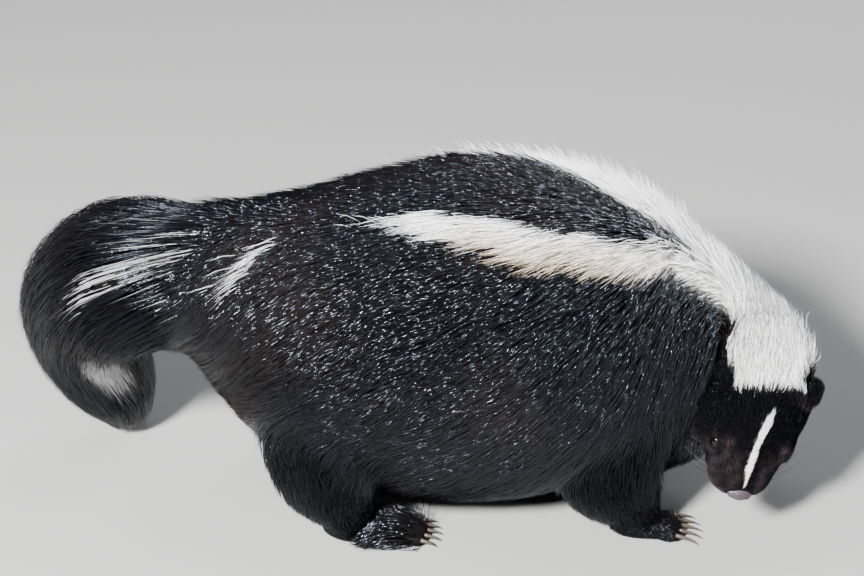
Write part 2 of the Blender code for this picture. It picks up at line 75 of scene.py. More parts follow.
HEAD = [
    (-16, 0, 0, 30, 24, 24), (-4, 0, 0, 36, 28, 28), (12, 0, 0, 39, 29, 29), (28, 0, 0, 37, 26, 27),
    (41, 0, -1, 32, 22, 23), (52, 0, -2, 26.5, 18, 19), (60, 0, -3, 22.5, 14.5, 16),
    (67, 0, -4, 19.5, 12, 14), (73, 0, -5, 17, 10.5, 12.5), (77, 0, -5.5, 12.5, 7.5, 9.5),
    (79, 0, -6, 7.5, 4.5, 6),
]
HIND_LEG = [
    (-72, 34, 106, 22, 34, 26), (-66, 46, 84, 29, 41, 36), (-60, 52, 58, 27, 38, 38),
    (-56, 53, 34, 21, 26, 30), (-50, 52, 16, 16, 19, 17), (-50, 51, 5, 13, 16, 13),
]
FRONT_LEG = [
    (112, 34, 104, 20, 30, 32), (112, 44, 78, 24, 30, 40), (107, 47, 50, 22, 28, 42),
    (113, 47, 28, 18, 22, 33), (120, 46, 13, 14, 15, 17), (121, 46, 4, 12, 13, 11),
]
HIND_FOOT = {"heel": (-58, 51), "toes": (-8, 52), "half_width": 12, "height": 15, "claw": 8, "step": -22}
FRONT_FOOT = {"heel": (108, 46), "toes": (140, 47), "half_width": 12, "height": 13, "claw": 13, "step": -14}
LEGS = (("hind", HIND_LEG, HIND_FOOT), ("front", FRONT_LEG, FRONT_FOOT))
HEAD_AT = (186.0, -24.0, 105.0)
HEAD_FORWARD = (-0.13, -0.58, -0.81)
HEAD_ROLL = math.radians(-30)
EYE_AT = (51, 21.2, 5.3)
EYE_LOOK = (0.42, 0.88, 0.22)
EYE_RADIUS = 4.6
NOSE_AT = (76.5, 0, -3)
EAR_AT = (18, 28.5, 13)
EAR_SIZE = (6, 8.5, 9.5)
EAR_TURN = (55, 30, 45)
SIDES = (("left", 1), ("right", -1))
print("stations", [len(rows) for rows in (TRUNK, TAIL, HEAD, HIND_LEG, FRONT_LEG)])

# %% [markdown]
# The head has a frame of its own: +X to the nose, +Y to its left, +Z to its crown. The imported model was
# moved so that its footprint's middle is the origin. The right eye's solid tells by how much.

# %% The head's frame and the model's shift
forward = Vector(HEAD_FORWARD).normalized()
sideways = forward.cross(Vector((0, 0, -1))).normalized()
upright = Matrix((forward, sideways, forward.cross(sideways))).transposed()
HEAD_TURN = upright @ Matrix.Rotation(HEAD_ROLL, 3, "X")


def before_shift(point, side=1):
    return Vector(HEAD_AT) + HEAD_TURN @ Vector((point[0], point[1] * side, point[2]))


low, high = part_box("eye_right")
SHIFT = (Vector(low) + Vector(high)) / 2 / MM - before_shift(EYE_AT, -1)
HEAD_MATRIX = Matrix.Translation((Vector(HEAD_AT) + SHIFT) * MM) @ HEAD_TURN.to_4x4()


def in_head(point, side=1):
    """A point of the head, given in millimetres in its own frame, in the model's metres."""
    return HEAD_MATRIX @ (Vector((point[0], point[1] * side, point[2])) * MM)


print("shift in mm", [round(x, 2) for x in SHIFT])

# %% [markdown]
# A form is one such tube. It can be asked for a point of its surface, and it can tell for any point how
# far along it that point lies, and how far round. The coat, its lie and its markings are all drawn in
# these terms, so they bend with the body.

# %% Forms
def through(rows, shares):
    """Smooth curves through rows of numbers, read at shares from 0 to 1 of their length."""
    table = np.array(rows, float)
    steps = np.linalg.norm(np.diff(table[:, :3], axis=0), axis=1)
    knots = np.concatenate([[0], np.cumsum(steps)]) / steps.sum()
    slopes = np.gradient(table, knots, axis=0)
    i = np.clip(np.searchsorted(knots, shares, side="right") - 1, 0, len(knots) - 2)
    span = (knots[i + 1] - knots[i])[:, None]
    t = (shares - knots[i])[:, None] / span
    return ((2 * t**3 - 3 * t**2 + 1) * table[i] + (t**3 - 2 * t**2 + t) * span * slopes[i]
            + (-2 * t**3 + 3 * t**2) * table[i + 1] + (t**3 - t**2) * span * slopes[i + 1])


def read(table, at):
    """The value of a table of (place, value) at one place or many."""
    return np.interp(at, [row[0] for row in table], [row[1] for row in table])


class Form:
    """A tube round a bent line. Angle 0 is its top, and a positive angle lies on its left."""

    SAMPLES = 161

    def __init__(self, rows, side=None, place=None):
        shares = np.linspace(0, 1, self.SAMPLES)
        table = through(rows, shares)
        turn = np.array(place.to_3x3()) if place else np.eye(3)
        offset = np.array(place.translation) if place else np.array(SHIFT) * MM
        ahead = np.gradient(table[:, :3], axis=0)
        along = ahead / np.linalg.norm(ahead, axis=1)[:, None]
        if side is None:
            left = np.cross((0, 0, 1), along)
        else:
            left = np.array(side) - (along @ np.array(side))[:, None] * along
        left /= np.linalg.norm(left, axis=1)[:, None]
        up = np.cross(along, left)
        self.centre = table[:, :3] * MM @ turn.T + offset
        self.along, self.left, self.up = along @ turn.T, left @ turn.T, up @ turn.T
        self.sizes = table[:, 3:] * MM
        self.length = np.linalg.norm(np.diff(self.centre, axis=0), axis=1).sum()

    def ring(self, share, angle, depth=0.0):
        """A point on the surface, or a depth below it."""
        i = int(round(share * (self.SAMPLES - 1)))
        wide, above, below = self.sizes[i] - depth
        tall = above if math.cos(angle) > 0 else below
        point = self.centre[i] + self.left[i] * wide * math.sin(angle)
        return Vector(point + self.up[i] * tall * math.cos(angle))

    def locate(self, points):
        """For each point its share, its angle in degrees, and how far out it lies; 1 is the outline."""
        nearest = np.zeros(len(points), int)
        for start in range(0, len(points), 20000):
            part = points[start:start + 20000]
            square = ((part[:, None, :] - self.centre[None, ::4]) ** 2).sum(2)
            nearest[start:start + 20000] = square.argmin(1) * 4
        offset = points - self.centre[nearest]
        ahead = (offset * self.along[nearest]).sum(1)
        share = nearest / (self.SAMPLES - 1) + ahead / self.length
        i = np.clip(np.round(share * (self.SAMPLES - 1)).astype(int), 0, self.SAMPLES - 1)
        offset = points - self.centre[i]
        y, z = (offset * self.left[i]).sum(1), (offset * self.up[i]).sum(1)
        wide = self.sizes[i, 0]
        tall = np.where(z > 0, self.sizes[i, 1], self.sizes[i, 2])
        past = np.maximum(0, np.maximum(share - 1, -share)) * self.length / wide
        out = np.sqrt((y / wide) ** 2 + (z / tall) ** 2 + past**2)
        return np.clip(share, 0, 1), np.degrees(np.arctan2(y / wide, z / tall)), out


def foot_points(foot, side):
    """The heel and the toes of a foot on the floor, in metres."""
    step = foot["step"] if side > 0 else 0
    return [Vector((foot[end][0] + step + SHIFT[0], foot[end][1] * side + SHIFT[1], 0)) * MM
            for end in ("heel", "toes")]


def leg_rows(rows, foot, side):
    step = foot["step"] if side > 0 else 0
    return [(x + step, y * side, z, wide, front, back) for x, y, z, wide, front, back in rows]


FORMS = {"trunk": Form(TRUNK), "tail": Form(TAIL, side=(0, -1, 0)), "head": Form(HEAD, place=HEAD_MATRIX)}
for pair, rows, foot in LEGS:
    for word, side in SIDES:
        FORMS[f"{pair}_{word}"] = Form(leg_rows(rows, foot, side), side=(0, 1, 0))
print({name: round(form.length * 1000) for name, form in FORMS.items()}, "mm long")

# %% [markdown]
# Under the coat the animal is slimmer. The skin lies 9 mm inside the tips on the trunk, and about 2 mm on
# the face, and the tail's flesh is a thin core in the middle of its plume. Three kinds of shape serve for
# all of it: tubes that are lofted along a form, ellipsoids, and round rods for lips and claws. A loft is
# a row of rings whose edges are bridged, and the same helper closes it at both ends.

# %% Lofts, balls and rods
SKIN_DEPTH = {
    "trunk": ((0, 8), (1, 9)), "head": ((0, 9), (0.3, 6), (0.5, 3.8), (0.65, 2.4), (0.8, 1.3), (1, 0.8)),
    "hind": ((0, 8), (0.6, 6), (0.9, 3)), "front": ((0, 8), (0.6, 6), (0.9, 3)),
}
TAIL_CORE = ((0, 0.84), (0.16, 0.80), (0.3, 0.6), (0.5, 0.42), (1, 0.34))


def rim_of(circle):
    """The edges of a ring of vertices."""
    return list({edge for vert in circle for edge in vert.link_edges})


def bridged(shape, rims):
    """Bridges rings of edges one after another and closes both ends."""
    for near, far in zip(rims, rims[1:]):
        bmesh.ops.bridge_loops(shape, edges=near + far)
    bmesh.ops.holes_fill(shape, edges=shape.edges, sides=0)
    bmesh.ops.recalc_face_normals(shape, faces=shape.faces)
    return shape


def lofted(form, rings, sides, depths=((0, 0),), scales=((0, 1),)):
    """A closed tube along a form, at some depth below its surface or at a scale of it."""
    shape = bmesh.new()
    rims = []
    for i in range(rings + 1):
        share = i / rings
        circle = bmesh.ops.create_circle(shape, segments=sides, radius=1)["verts"]
        centre = Vector(form.centre[int(round(share * (form.SAMPLES - 1)))])
        for vert in circle:
            point = form.ring(share, math.atan2(vert.co.x, vert.co.y), read(depths, share) * MM)
            vert.co = centre + (point - centre) * read(scales, share)
        rims.append(rim_of(circle))
    return bridged(shape, rims)


def ball(centre, radii, turn=None, segments=24, rings=16):
    """An ellipsoid with radii in millimetres."""
    shape = bmesh.new()
    bmesh.ops.create_uvsphere(shape, u_segments=segments, v_segments=rings, radius=MM)
    turn = (turn or Matrix.Identity(3)).to_4x4()
    place = Matrix.Translation(centre) @ turn @ Matrix.Diagonal((*radii, 1))
    bmesh.ops.transform(shape, matrix=place, verts=shape.verts)
    return shape


def rod(path, radii, sides=10):
    """A round rod along a path of points, with a radius in millimetres at each."""
    shape = bmesh.new()
    rims = []
    for i, point in enumerate(path):
        along = path[min(i + 1, len(path) - 1)] - path[max(i - 1, 0)]
        circle = bmesh.ops.create_circle(shape, segments=sides, radius=radii[i] * MM)["verts"]
        turn = along.to_track_quat("Z", "Y").to_matrix().to_4x4()
        bmesh.ops.transform(shape, matrix=Matrix.Translation(point) @ turn, verts=circle)
        rims.append(rim_of(circle))
    return bridged(shape, rims)


def put(name, *shapes):
    """One object from one or more bmeshes, which may overlap."""
    mesh = bpy.data.meshes.new(name)
    joined = bmesh.new()
    for shape in shapes:
        shape.to_mesh(mesh)
        joined.from_mesh(mesh)
        shape.free()
    joined.to_mesh(mesh)
    joined.free()
    mesh.shade_smooth()
    obj = bpy.data.objects.new(name, mesh)
    bpy.context.scene.collection.objects.link(obj)
    return obj

# %% [markdown]
# The skin could be lofted in one piece, but legs and ears would leave creases. The shapes are fused like
# clay instead: they are joined, remeshed to one closed surface and smoothed. A cut with a MANIFOLD
# Boolean is quick and keeps such a surface closed.

# %% Clay and cuts
def applied(obj):
    """Turns an object's modifiers into its mesh."""
    graph = bpy.context.evaluated_depsgraph_get()
    graph.update()
    mesh = bpy.data.meshes.new_from_object(obj.evaluated_get(graph), depsgraph=graph)
    obj.modifiers.clear()
    obj.data = mesh
    obj.data.shade_smooth()
    return obj


def smoothed(obj, rounds):
    """Draws every vertex half-way to the middle of its neighbours, some rounds long."""
    shape = bmesh.new()
    shape.from_mesh(obj.data)
    for _ in range(rounds):
        bmesh.ops.smooth_vert(shape, verts=shape.verts, factor=0.5, use_axis_x=True, use_axis_y=True,
                              use_axis_z=True)
    shape.to_mesh(obj.data)
    shape.free()


def clay(name, shapes, voxel, rounds):
    """Fuses overlapping shapes to one smooth surface, with facets of about a voxel in millimetres."""
    obj = put(name, *shapes)
    fuse = obj.modifiers.new("fuse", "REMESH")
    fuse.mode = "VOXEL"
    fuse.voxel_size = voxel * MM
    applied(obj)
    smoothed(obj, rounds)
    obj.data.shade_smooth()
    return obj


def boolean(obj, other, operation):
    step = obj.modifiers.new("join", "BOOLEAN")
    step.operation = operation
    step.object = other
    step.solver = "MANIFOLD"
    applied(obj)
    bpy.data.objects.remove(other)
    return obj


# %% [markdown]
# The feet are flat-soled, with five toes. Each is a low ball for the sole with a small ball for every
# toe, set in a fan, and the claws spring from the toes' ends.

# %% Feet
TOES = 5
TOE_FAN = 0.22
TOE_SPREAD = 0.82
TOE_BALL = (8.0, 2.7, 3.8)
TOE_RISE = 3.4


def toe_roots(foot, side):
    """The place and the way of each toe."""
    heel, toes = foot_points(foot, side)
    along = (toes - heel).normalized()
    across = Vector((0, 0, 1)).cross(along)
    width = foot["half_width"] * MM
    for i in range(TOES):
        spread = (i / (TOES - 1) - 0.5) * 2
        place = toes + (across * TOE_SPREAD * spread - along * TOE_FAN * spread**2) * width
        yield place, (along + across * spread * TOE_FAN).normalized()


def axes(first, up=Vector((0, 0, 1))):
    second = up.cross(first).normalized()
    return Matrix((first, second, first.cross(second))).transposed()


def foot_shapes(foot, side):
    heel, toes = foot_points(foot, side)
    along = (toes - heel).normalized()
    height = foot["height"]
    reach = (toes - heel).length / 2 / MM + height * 0.5
    centre = (heel + toes) / 2 + Vector((0, 0, height * 0.42 * MM))
    shapes = [ball(centre, (reach - 1, foot["half_width"] - 1, height * 0.6 - 1), axes(along))]
    for place, way in toe_roots(foot, side):
        shapes.append(ball(place + Vector((0, 0, TOE_RISE * MM)), TOE_BALL, axes(way), 14, 10))
    return shapes


print("toes in all", sum(len(list(toe_roots(foot, side))) for _, _, foot in LEGS for _, side in SIDES))

# %% [markdown]
# Trunk, tail, legs and feet become one lump of clay. A voxel of 2 mm is fine enough here, because the
# coat will hide the surface. The soles are then lifted off the floor by a hair's breadth and made flat.

# %% Body
BODY_VOXEL = 2.0
SOLE_LEVEL = 0.2
body_shapes = [lofted(FORMS["trunk"], 40, 48, SKIN_DEPTH["trunk"])]
body_shapes.append(lofted(FORMS["tail"], 30, 24, scales=TAIL_CORE))
for pair, _, foot in LEGS:
    for word, side in SIDES:
        body_shapes.append(lofted(FORMS[f"{pair}_{word}"], 16, 24, SKIN_DEPTH[pair]))
        body_shapes += foot_shapes(foot, side)
skin = clay("skin", body_shapes, BODY_VOXEL, 6)
levelled = bmesh.new()
levelled.from_mesh(skin.data)
for vert in levelled.verts:
    vert.co.z = max(vert.co.z, SOLE_LEVEL * MM)
levelled.to_mesh(skin.data)
levelled.free()
print("body skin", len(skin.data.polygons), "faces")

# %% [markdown]
# The head gets the most care, and it needs a few guides first. Eyes and ears have axes of their own, so
# that each can be shaped straight and then be turned into place. The line of the mouth runs round the
# muzzle from one corner to the other. It is read from the head's own stations, and serves both for the
# lips and for the cut between them.

# %% Guides of the head
def eye_axes(side):
    """The turn of an eye: its first axis looks out, its second runs between the corners of the lids."""
    look = (HEAD_TURN @ Vector((EYE_LOOK[0], EYE_LOOK[1] * side, EYE_LOOK[2]))).normalized()
    across = HEAD_TURN @ Vector((1, 0, 0))
    across = (across - look * across.dot(look)).normalized()
    return Matrix((look, across, look.cross(across))).transposed()


def ear_axes(side):
    out, lean, back = (math.radians(degrees) for degrees in EAR_TURN)
    leant = Matrix.Rotation(-side * lean, 3, "X") @ Matrix.Rotation(-back, 3, "Y")
    return HEAD_TURN @ leant @ Matrix.Rotation(side * out, 3, "Z")


MOUTH_CORNER, MOUTH_FRONT = (46, -14.5), (78, -10.5)
LOWEST_DROP = 0.93


def mouth_line(out):
    """The line of the mouth round the muzzle; out is how far proud of it the line lies, in millimetres."""
    table = np.array(HEAD, float)
    half = []
    for share in np.linspace(0, 1, 12):
        x, z = np.array(MOUTH_CORNER) * (1 - share) + np.array(MOUTH_FRONT) * share
        up, wide, below = (np.interp(x, table[:, 0], table[:, k]) for k in (2, 3, 5))
        drop = min((up - z) / below, LOWEST_DROP)
        aside = math.sqrt(1 - drop**2)
        normal = np.array([aside / wide, -drop / below])
        normal /= np.linalg.norm(normal)
        half.append((x + out * share, wide * aside + out * normal[0], up - below * drop + out * normal[1]))
    middle = (MOUTH_FRONT[0] + 1 + out, 0, half[-1][2])
    return [in_head(p) for p in half + [middle]] + [in_head(p, -1) for p in half[::-1]]


print("mouth line of", len(mouth_line(0)), "points")

# %% [markdown]
# Over the plain form of the head come the mounds of the lids, brows, whisker pads and cheeks, the lips
# and the ears. They are balls and a rod, and the clay makes soft flesh of them. The remesh is finer here
# than on the body, so that these small forms survive it.

# %% Mounds of the head
HEAD_VOXEL = 0.9
LID_MOUND = (5.9, 7.4, 5.9)
MOUNDS = {
    "brow": ((43, 16, 10.5), (11, 6, 3.6)),
    "whisker pad": ((69, 8.6, -6.5), (7.5, 6.4, 5.2)),
    "cheek": ((30, 24, -10), (22, 11, 14)),
}
EAR_SKIN_DEPTH = 0.6
LIP_RADIUS, LIP_OUT = 2.3, -1.4

line = mouth_line(LIP_OUT)
ends = [0.5, 0.8] + [1.0] * (len(line) - 4) + [0.8, 0.5]
lips = rod(line, [LIP_RADIUS * end for end in ends])
head_shapes = [lofted(FORMS["head"], 40, 40, SKIN_DEPTH["head"]), lips]
for _, side in SIDES:
    head_shapes.append(ball(in_head(EYE_AT, side), LID_MOUND, eye_axes(side)))
    for at, radii in MOUNDS.values():
        head_shapes.append(ball(in_head(at, side), radii, HEAD_TURN))
    ear_radii = [x - EAR_SKIN_DEPTH for x in EAR_SIZE]
    head_shapes.append(ball(in_head(EAR_AT, side), ear_radii, ear_axes(side)))
head = clay("head_skin", head_shapes, HEAD_VOXEL, 3)
print("head skin", len(head.data.polygons), "faces")

# %% [markdown]
# Now the sockets, the slits of the lids, the line of the mouth and the ears' hollows are cut. Then the
# head joins the body, and the whole skin is thinned a little, to keep it light enough for the library.

# %% Cuts of the head
CUT_RADIUS, CUT_OUT = 0.95, 0.9
SOCKET_ROOM = 0.15
LID_SLIT, LID_SLIT_OUT = (8, 5.6, 3.9), 4.2
EAR_CUP, EAR_CUP_AT = (4.3, 5.9, 6.3), (4.5, 0, 2)
SKIN_TRIANGLES = 150000

cuts = [rod(mouth_line(CUT_OUT), [CUT_RADIUS * end for end in ends])]
for _, side in SIDES:
    turn = eye_axes(side)
    cuts.append(ball(in_head(EYE_AT, side), [EYE_RADIUS + SOCKET_ROOM] * 3, turn))
    cuts.append(ball(in_head(EYE_AT, side) + turn @ Vector((LID_SLIT_OUT * MM, 0, 0)), LID_SLIT, turn))
    cup = in_head(EAR_AT, side) + ear_axes(side) @ (Vector(EAR_CUP_AT) * MM)
    cuts.append(ball(cup, EAR_CUP, ear_axes(side)))
for number, cut in enumerate(cuts):
    boolean(head, put(f"cut_{number}", cut), "DIFFERENCE")
boolean(skin, head, "UNION")
thin = skin.modifiers.new("thin", "DECIMATE")
thin.ratio = min(1.0, SKIN_TRIANGLES / sum(len(face.vertices) - 2 for face in skin.data.polygons))
applied(skin)
print("skin", len(skin.data.polygons), "faces")

# %% [markdown]
# Blender hands out the faces of a fused mesh in an order that changes from run to run. The random numbers
# that will place the tufts would then fall on other faces each time. So the faces are sorted once, each
# beginning with its vertex of the least number, and the coat comes out the same in every run.

# %% The skin's faces in a fixed order
def from_least(corners):
    """The vertices of a face, beginning with the one of the least number."""
    start = corners.index(min(corners))
    return corners[start:] + corners[:start]


faces = sorted(from_least(tuple(face.vertices)) for face in skin.data.polygons)
ordered = bpy.data.meshes.new("skin")
ordered.from_pydata([vert.co for vert in skin.data.vertices], [], faces)
ordered.shade_smooth()
skin.data = ordered
print("faces in order", len(faces))

# %% [markdown]
# The coat grows from the skin, so each vertex of the skin must know where on the animal it is: which form
# it belongs to, how far along that form it lies and how far round. The nearest outline decides. Round the
# ears the head always wins, because the nape's white fur would otherwise creep onto them.

# %% The skin's vertices and their forms
skin_mesh = skin.data
COUNT = len(skin_mesh.vertices)
names = list(FORMS)
LEG_NAMES = names[3:]
EAR_OWNED, EAR_COAT = 1.15, 1.08


def vectors_of(label):
    values = np.empty(COUNT * 3)
    skin_mesh.vertices.foreach_get(label, values)
    return values.reshape(-1, 3)


def in_axes(points, centre, turn):
    """Points in millimetres from a centre, along the axes of a turn."""
    return (points - np.array(centre)) @ np.array(turn) / MM


def head_place(points):
    """Points in the head's own frame, in millimetres."""
    return in_axes(points, HEAD_MATRIX.translation, HEAD_TURN)


def ear_reach(points, side):
    """How far points lie from the middle of an ear, where 1 is its outline."""
    local = in_axes(points, in_head(EAR_AT, side), ear_axes(side))
    return np.linalg.norm(local / np.array(EAR_SIZE), axis=1)


def near_ear(points, reach):
    return (ear_reach(points, 1) < reach) | (ear_reach(points, -1) < reach)


def found_at(points, owned=0.0):
    """The number of the form, the share and the angle at points. What lies round an ear is the head's."""
    where = [FORMS[name].locate(points) for name in names]
    kind = np.argmin([w[2] for w in where], axis=0)
    kind[near_ear(points, owned)] = names.index("head")
    return kind, np.choose(kind, [w[0] for w in where]), np.choose(kind, [w[1] for w in where])


def is_form(kind, *wanted):
    return np.isin(kind, [names.index(name) for name in wanted])


places, normals = vectors_of("co"), vectors_of("normal")
owner, share, angle = found_at(places, EAR_OWNED)
print("vertices of each form", dict(zip(names, np.bincount(owner).tolist())))

# %% [markdown]
# Four fields tell how the coat grows: how high its tips stand, how long a tuft is, how many there are to
# a square millimetre and how wide they are. They are read from tables. On the trunk, tail and legs the
# place is the share of the length, from 0 to 1. On the head it is the distance in front of the head's
# centre, in millimetres.

# %% Tables of the coat
HEAD_PLACES = (-10, 12, 28, 41, 60, 78)
HEAD_VALUES = (
    (10, 7, 4.4, 2.8, 1.4, 0.6), (24, 18, 12, 8, 4.6, 2.2),
    (0.7, 0.9, 1.3, 1.9, 3.0, 3.6), (0.34, 0.32, 0.26, 0.21, 0.17, 0.13),
)
HAIR = {
    "trunk": (((0, 12), (0.2, 10), (0.8, 9), (1, 8)), ((0, 42), (0.25, 36), (0.8, 30), (1, 20)),
              0.46, 0.36),
    "tail": (1, ((0, 60), (0.3, 80), (0.7, 66), (1, 34)), 0.7, 0.4),
    "legs": (((0, 8), (0.5, 6.5), (0.75, 3.4), (1, 1.4)), ((0, 32), (0.5, 26), (0.75, 13), (1, 6)),
             ((0, 0.42), (0.5, 0.42), (0.8, 0.55), (1, 0.9)), ((0, 0.36), (0.7, 0.34), (1, 0.26))),
    "head": [tuple(zip(HEAD_PLACES, values)) for values in HEAD_VALUES],
    "feet": (1.0, 5.0, 1.8, 0.22),
    "ears": (3.2, 8.5, 2.2, 0.2),
}
CREST = ((0, 4), (0.3, 2), (0.5, 5), (0.75, 7), (1, 5))
TRUNK_FALL = ((0, 60), (0.1, 54), (0.25, 37), (0.45, 27), (0.62, 40), (0.78, 68), (1, 72))
height, length, density, width = (np.zeros(COUNT) for _ in range(4))


def grow(kind, rows, at=0.0):
    """Sets the four fields at some vertices, from the tables of a kind of hair."""
    for field, values in zip((height, length, density, width), HAIR[kind]):
        field[rows] = read(values, at) if np.ndim(values) else values


print("kinds of hair", list(HAIR))

# %% [markdown]
# Now each part of the body is set in turn, together with the lie of its hair, the way in which it points.
# On the trunk the hair lies backwards and falls to the sides, most over the shoulder and the rump. On the
# tail and the legs it points to their ends, and on the head back from the nose and a little down.

# %% Fields of trunk, tail, legs and head
def unit(vectors):
    return vectors / np.maximum(np.linalg.norm(vectors, axis=1), 1e-9)[:, None]


def frame_of(name, at):
    form = FORMS[name]
    i = np.clip(np.round(at * (form.SAMPLES - 1)).astype(int), 0, form.SAMPLES - 1)
    return form.along[i], form.left[i], form.up[i], form.sizes[i]


lie = np.zeros((COUNT, 3))
rows = is_form(owner, "trunk")
along, left, up, sizes = frame_of("trunk", share[rows])
turned = np.radians(angle[rows])
down = np.sign(turned)[:, None] * (left * (sizes[:, 0] * np.cos(turned))[:, None]
                                   - up * (sizes[:, 1] * np.sin(turned))[:, None])
fall = np.radians(read(TRUNK_FALL, share[rows])) * np.abs(np.sin(turned)) ** 0.7
lie[rows] = -along * np.cos(fall)[:, None] + unit(down) * np.sin(fall)[:, None]
grow("trunk", rows, share[rows])
height[rows] += read(CREST, share[rows]) * np.maximum(0, np.cos(turned))

rows = is_form(owner, "tail")
along, _, _, sizes = frame_of("tail", share[rows])
lie[rows] = along
grow("tail", rows, share[rows])
height[rows] += sizes.mean(1) / MM * (1 - read(TAIL_CORE, share[rows]))

for name in LEG_NAMES:
    rows = is_form(owner, name)
    lie[rows] = frame_of(name, share[rows])[0]
    grow("legs", rows, share[rows])

rows = is_form(owner, "head")
here = head_place(places)[rows]
backward, downward = -np.array(HEAD_TURN.col[0]), -np.array(HEAD_TURN.col[2])
lie[rows] = backward + downward * np.clip(-here[:, 2:] / 30, 0, 0.5)
grow("head", rows, here[:, 0])
print("longest hair", round(float(length.max())), "mm")

# %% [markdown]
# Feet and ears have short, close hair with a lie of its own. On a foot it turns from downwards at the
# heel to forwards at the toes, and on an ear it points up to the rim.

# %% Fields of feet and ears
FOOT_TOP = 15
feet = (places[:, 2] < FOOT_TOP * MM) & is_form(owner, *LEG_NAMES)
for pair, _, foot in LEGS:
    for word, side in SIDES:
        heel, toes = (np.array(p) for p in foot_points(foot, side))
        ahead = (toes - heel) / np.linalg.norm(toes - heel)
        rows = is_form(owner, f"{pair}_{word}") & feet
        onward = np.clip((places[rows] - heel) @ ahead / np.linalg.norm(toes - heel), 0, 1)[:, None]
        lie[rows] = ahead * (0.3 + onward) + np.array((0, 0, -1)) * (1 - onward)
        grow("feet", rows)

ears = np.zeros(COUNT, bool)
for _, side in SIDES:
    turn = np.array(ear_axes(side))
    rows = (ear_reach(places, side) < EAR_COAT) & is_form(owner, "head")
    lie[rows] = turn[:, 2] - 0.25 * turn[:, 0]
    grow("ears", rows)
    ears |= rows
print("vertices of feet and ears", int(feet.sum()), int(ears.sum()))

# %% [markdown]
# Last, the fields are smoothed over the mesh, so that the hair of the shoulder turns gently into that of
# the leg. Each value is averaged with its neighbours' some rounds long. The lie is laid flat on the skin
# again, and the feet keep their short hair.

# %% Smoothing of the fields
LIE_ROUNDS, HEIGHT_ROUNDS, WIDTH_ROUNDS = 14, 10, 6
FOOT_LIMITS = {"height": 1.4, "length": 5.5, "width": 0.22}
edges = np.empty(len(skin_mesh.edges) * 2, int)
skin_mesh.edges.foreach_get("vertices", edges)
edges = edges.reshape(-1, 2)
degree = np.bincount(edges.ravel(), minlength=COUNT)


def softened(values, rounds):
    """Averages a value of every vertex with its neighbours'."""
    values = values.copy()
    for _ in range(rounds):
        total = np.bincount(edges[:, 0], values[edges[:, 1]], COUNT) \
            + np.bincount(edges[:, 1], values[edges[:, 0]], COUNT)
        values = (values + total) / (1 + degree)
    return values


lie = unit(lie)
lie = np.stack([softened(lie[:, k], LIE_ROUNDS) for k in range(3)], axis=1)
lie = unit(lie - normals * (lie * normals).sum(1)[:, None])
height, length = softened(height, HEIGHT_ROUNDS) * MM, softened(length, HEIGHT_ROUNDS) * MM
width = softened(width, WIDTH_ROUNDS) * MM
for field, label in ((height, "height"), (length, "length"), (width, "width")):
    field[feet] = np.minimum(field[feet], FOOT_LIMITS[label] * MM)
print("mean hair length", round(float(length.mean() * 1000), 1), "mm")

# %% [markdown]
# The markings: a white cap on the nape parts into two stripes along the back, a narrow white blaze runs
# down the face, a thin streak crosses the rump, and the black tail has grey streaks and a white tuft.
# Their edges are tables in the terms of the forms: a share of the length and an angle, or millimetres on
# the head. So they bend with the body.

# %% Edges of the markings
NEAR_TOP = (
    (0.20, -19), (0.33, -17.7), (0.41, -20.7), (0.485, -26), (0.54, -28.5), (0.60, -30.2), (0.655, -29.7),
    (0.72, -26.6), (0.78, -19.5), (0.83, -12),
)
NEAR_EDGE = (
    (0.20, -20), (0.32, -21.5), (0.352, -26.8), (0.425, -34.4), (0.482, -40.2), (0.54, -43.1),
    (0.60, -44.5), (0.657, -45.5), (0.705, -45), (0.745, -39), (0.767, -33.5), (0.792, -36),
    (0.85, -34.5), (0.92, -33), (1.0, -40),
)
FAR_TOP = (
    (0.25, 33), (0.40, 30), (0.48, 26), (0.55, 15.6), (0.578, 11.3), (0.625, -0.3), (0.667, -6.6),
    (0.715, -10.1), (0.77, -10.6), (0.83, -12),
)
FAR_EDGE = (
    (0.25, 34), (0.40, 38), (0.48, 40), (0.55, 36), (0.625, 27), (0.70, 30), (0.78, 40), (0.88, 58),
    (1.0, 64),
)
RUMP_STREAK = ((-70, 0.052), (-55, 0.062), (-41, 0.075), (-27, 0.105))
TAIL_STREAK = ((0.2, 26), (0.223, 31), (0.273, 41.5), (0.32, 57), (0.37, 63.5), (0.415, 67.5))
TAIL_SHADOW = ((0.17, 38), (0.188, 42), (0.207, 64), (0.237, 80), (0.26, 88))
BLAZE_AT = ((30, 2.6), (33, 2.2), (44, -0.4), (52, -1.8), (65, -1.5), (75, -0.8))
BLAZE_HALF = (
    (30, 0.4), (34, 2.4), (44, 2.5), (50, 1.8), (52, 1.4), (56, 2.2), (65, 2.0), (71, 0.8), (76, 0.2),
)
STRIPE_SOFT = 2.2


def cloud(points, size, seed):
    """A soft random value from -1 to 1 that changes over about the given size in millimetres."""
    rng = np.random.default_rng(seed)
    ways = rng.normal(size=(7, 3)) / (size * MM)
    phases = rng.uniform(0, 2 * math.pi, 7)
    return np.sin(points @ ways.T + phases).sum(1) / 4


def inside(value, low, high, soft):
    """1 between two limits, and 0 outside, with soft edges."""
    return np.clip((value - low) / soft + 0.5, 0, 1) * np.clip((high - value) / soft + 0.5, 0, 1)


stripe_width = read(NEAR_TOP, 0.6) - read(NEAR_EDGE, 0.6)
print("near stripe", round(float(stripe_width), 1), "degrees wide over the shoulder")

# %% [markdown]
# How white the coat is at a place is one function. The skin reads it at its vertices, and the coat where
# each tuft shows, near its tip. Real hair takes its colour at the root, but then the long hair would
# carry a marking out of its place. Two soft random waves make the edges ragged, as hair does.

# %% White hair
EAR_DARK = 1.12


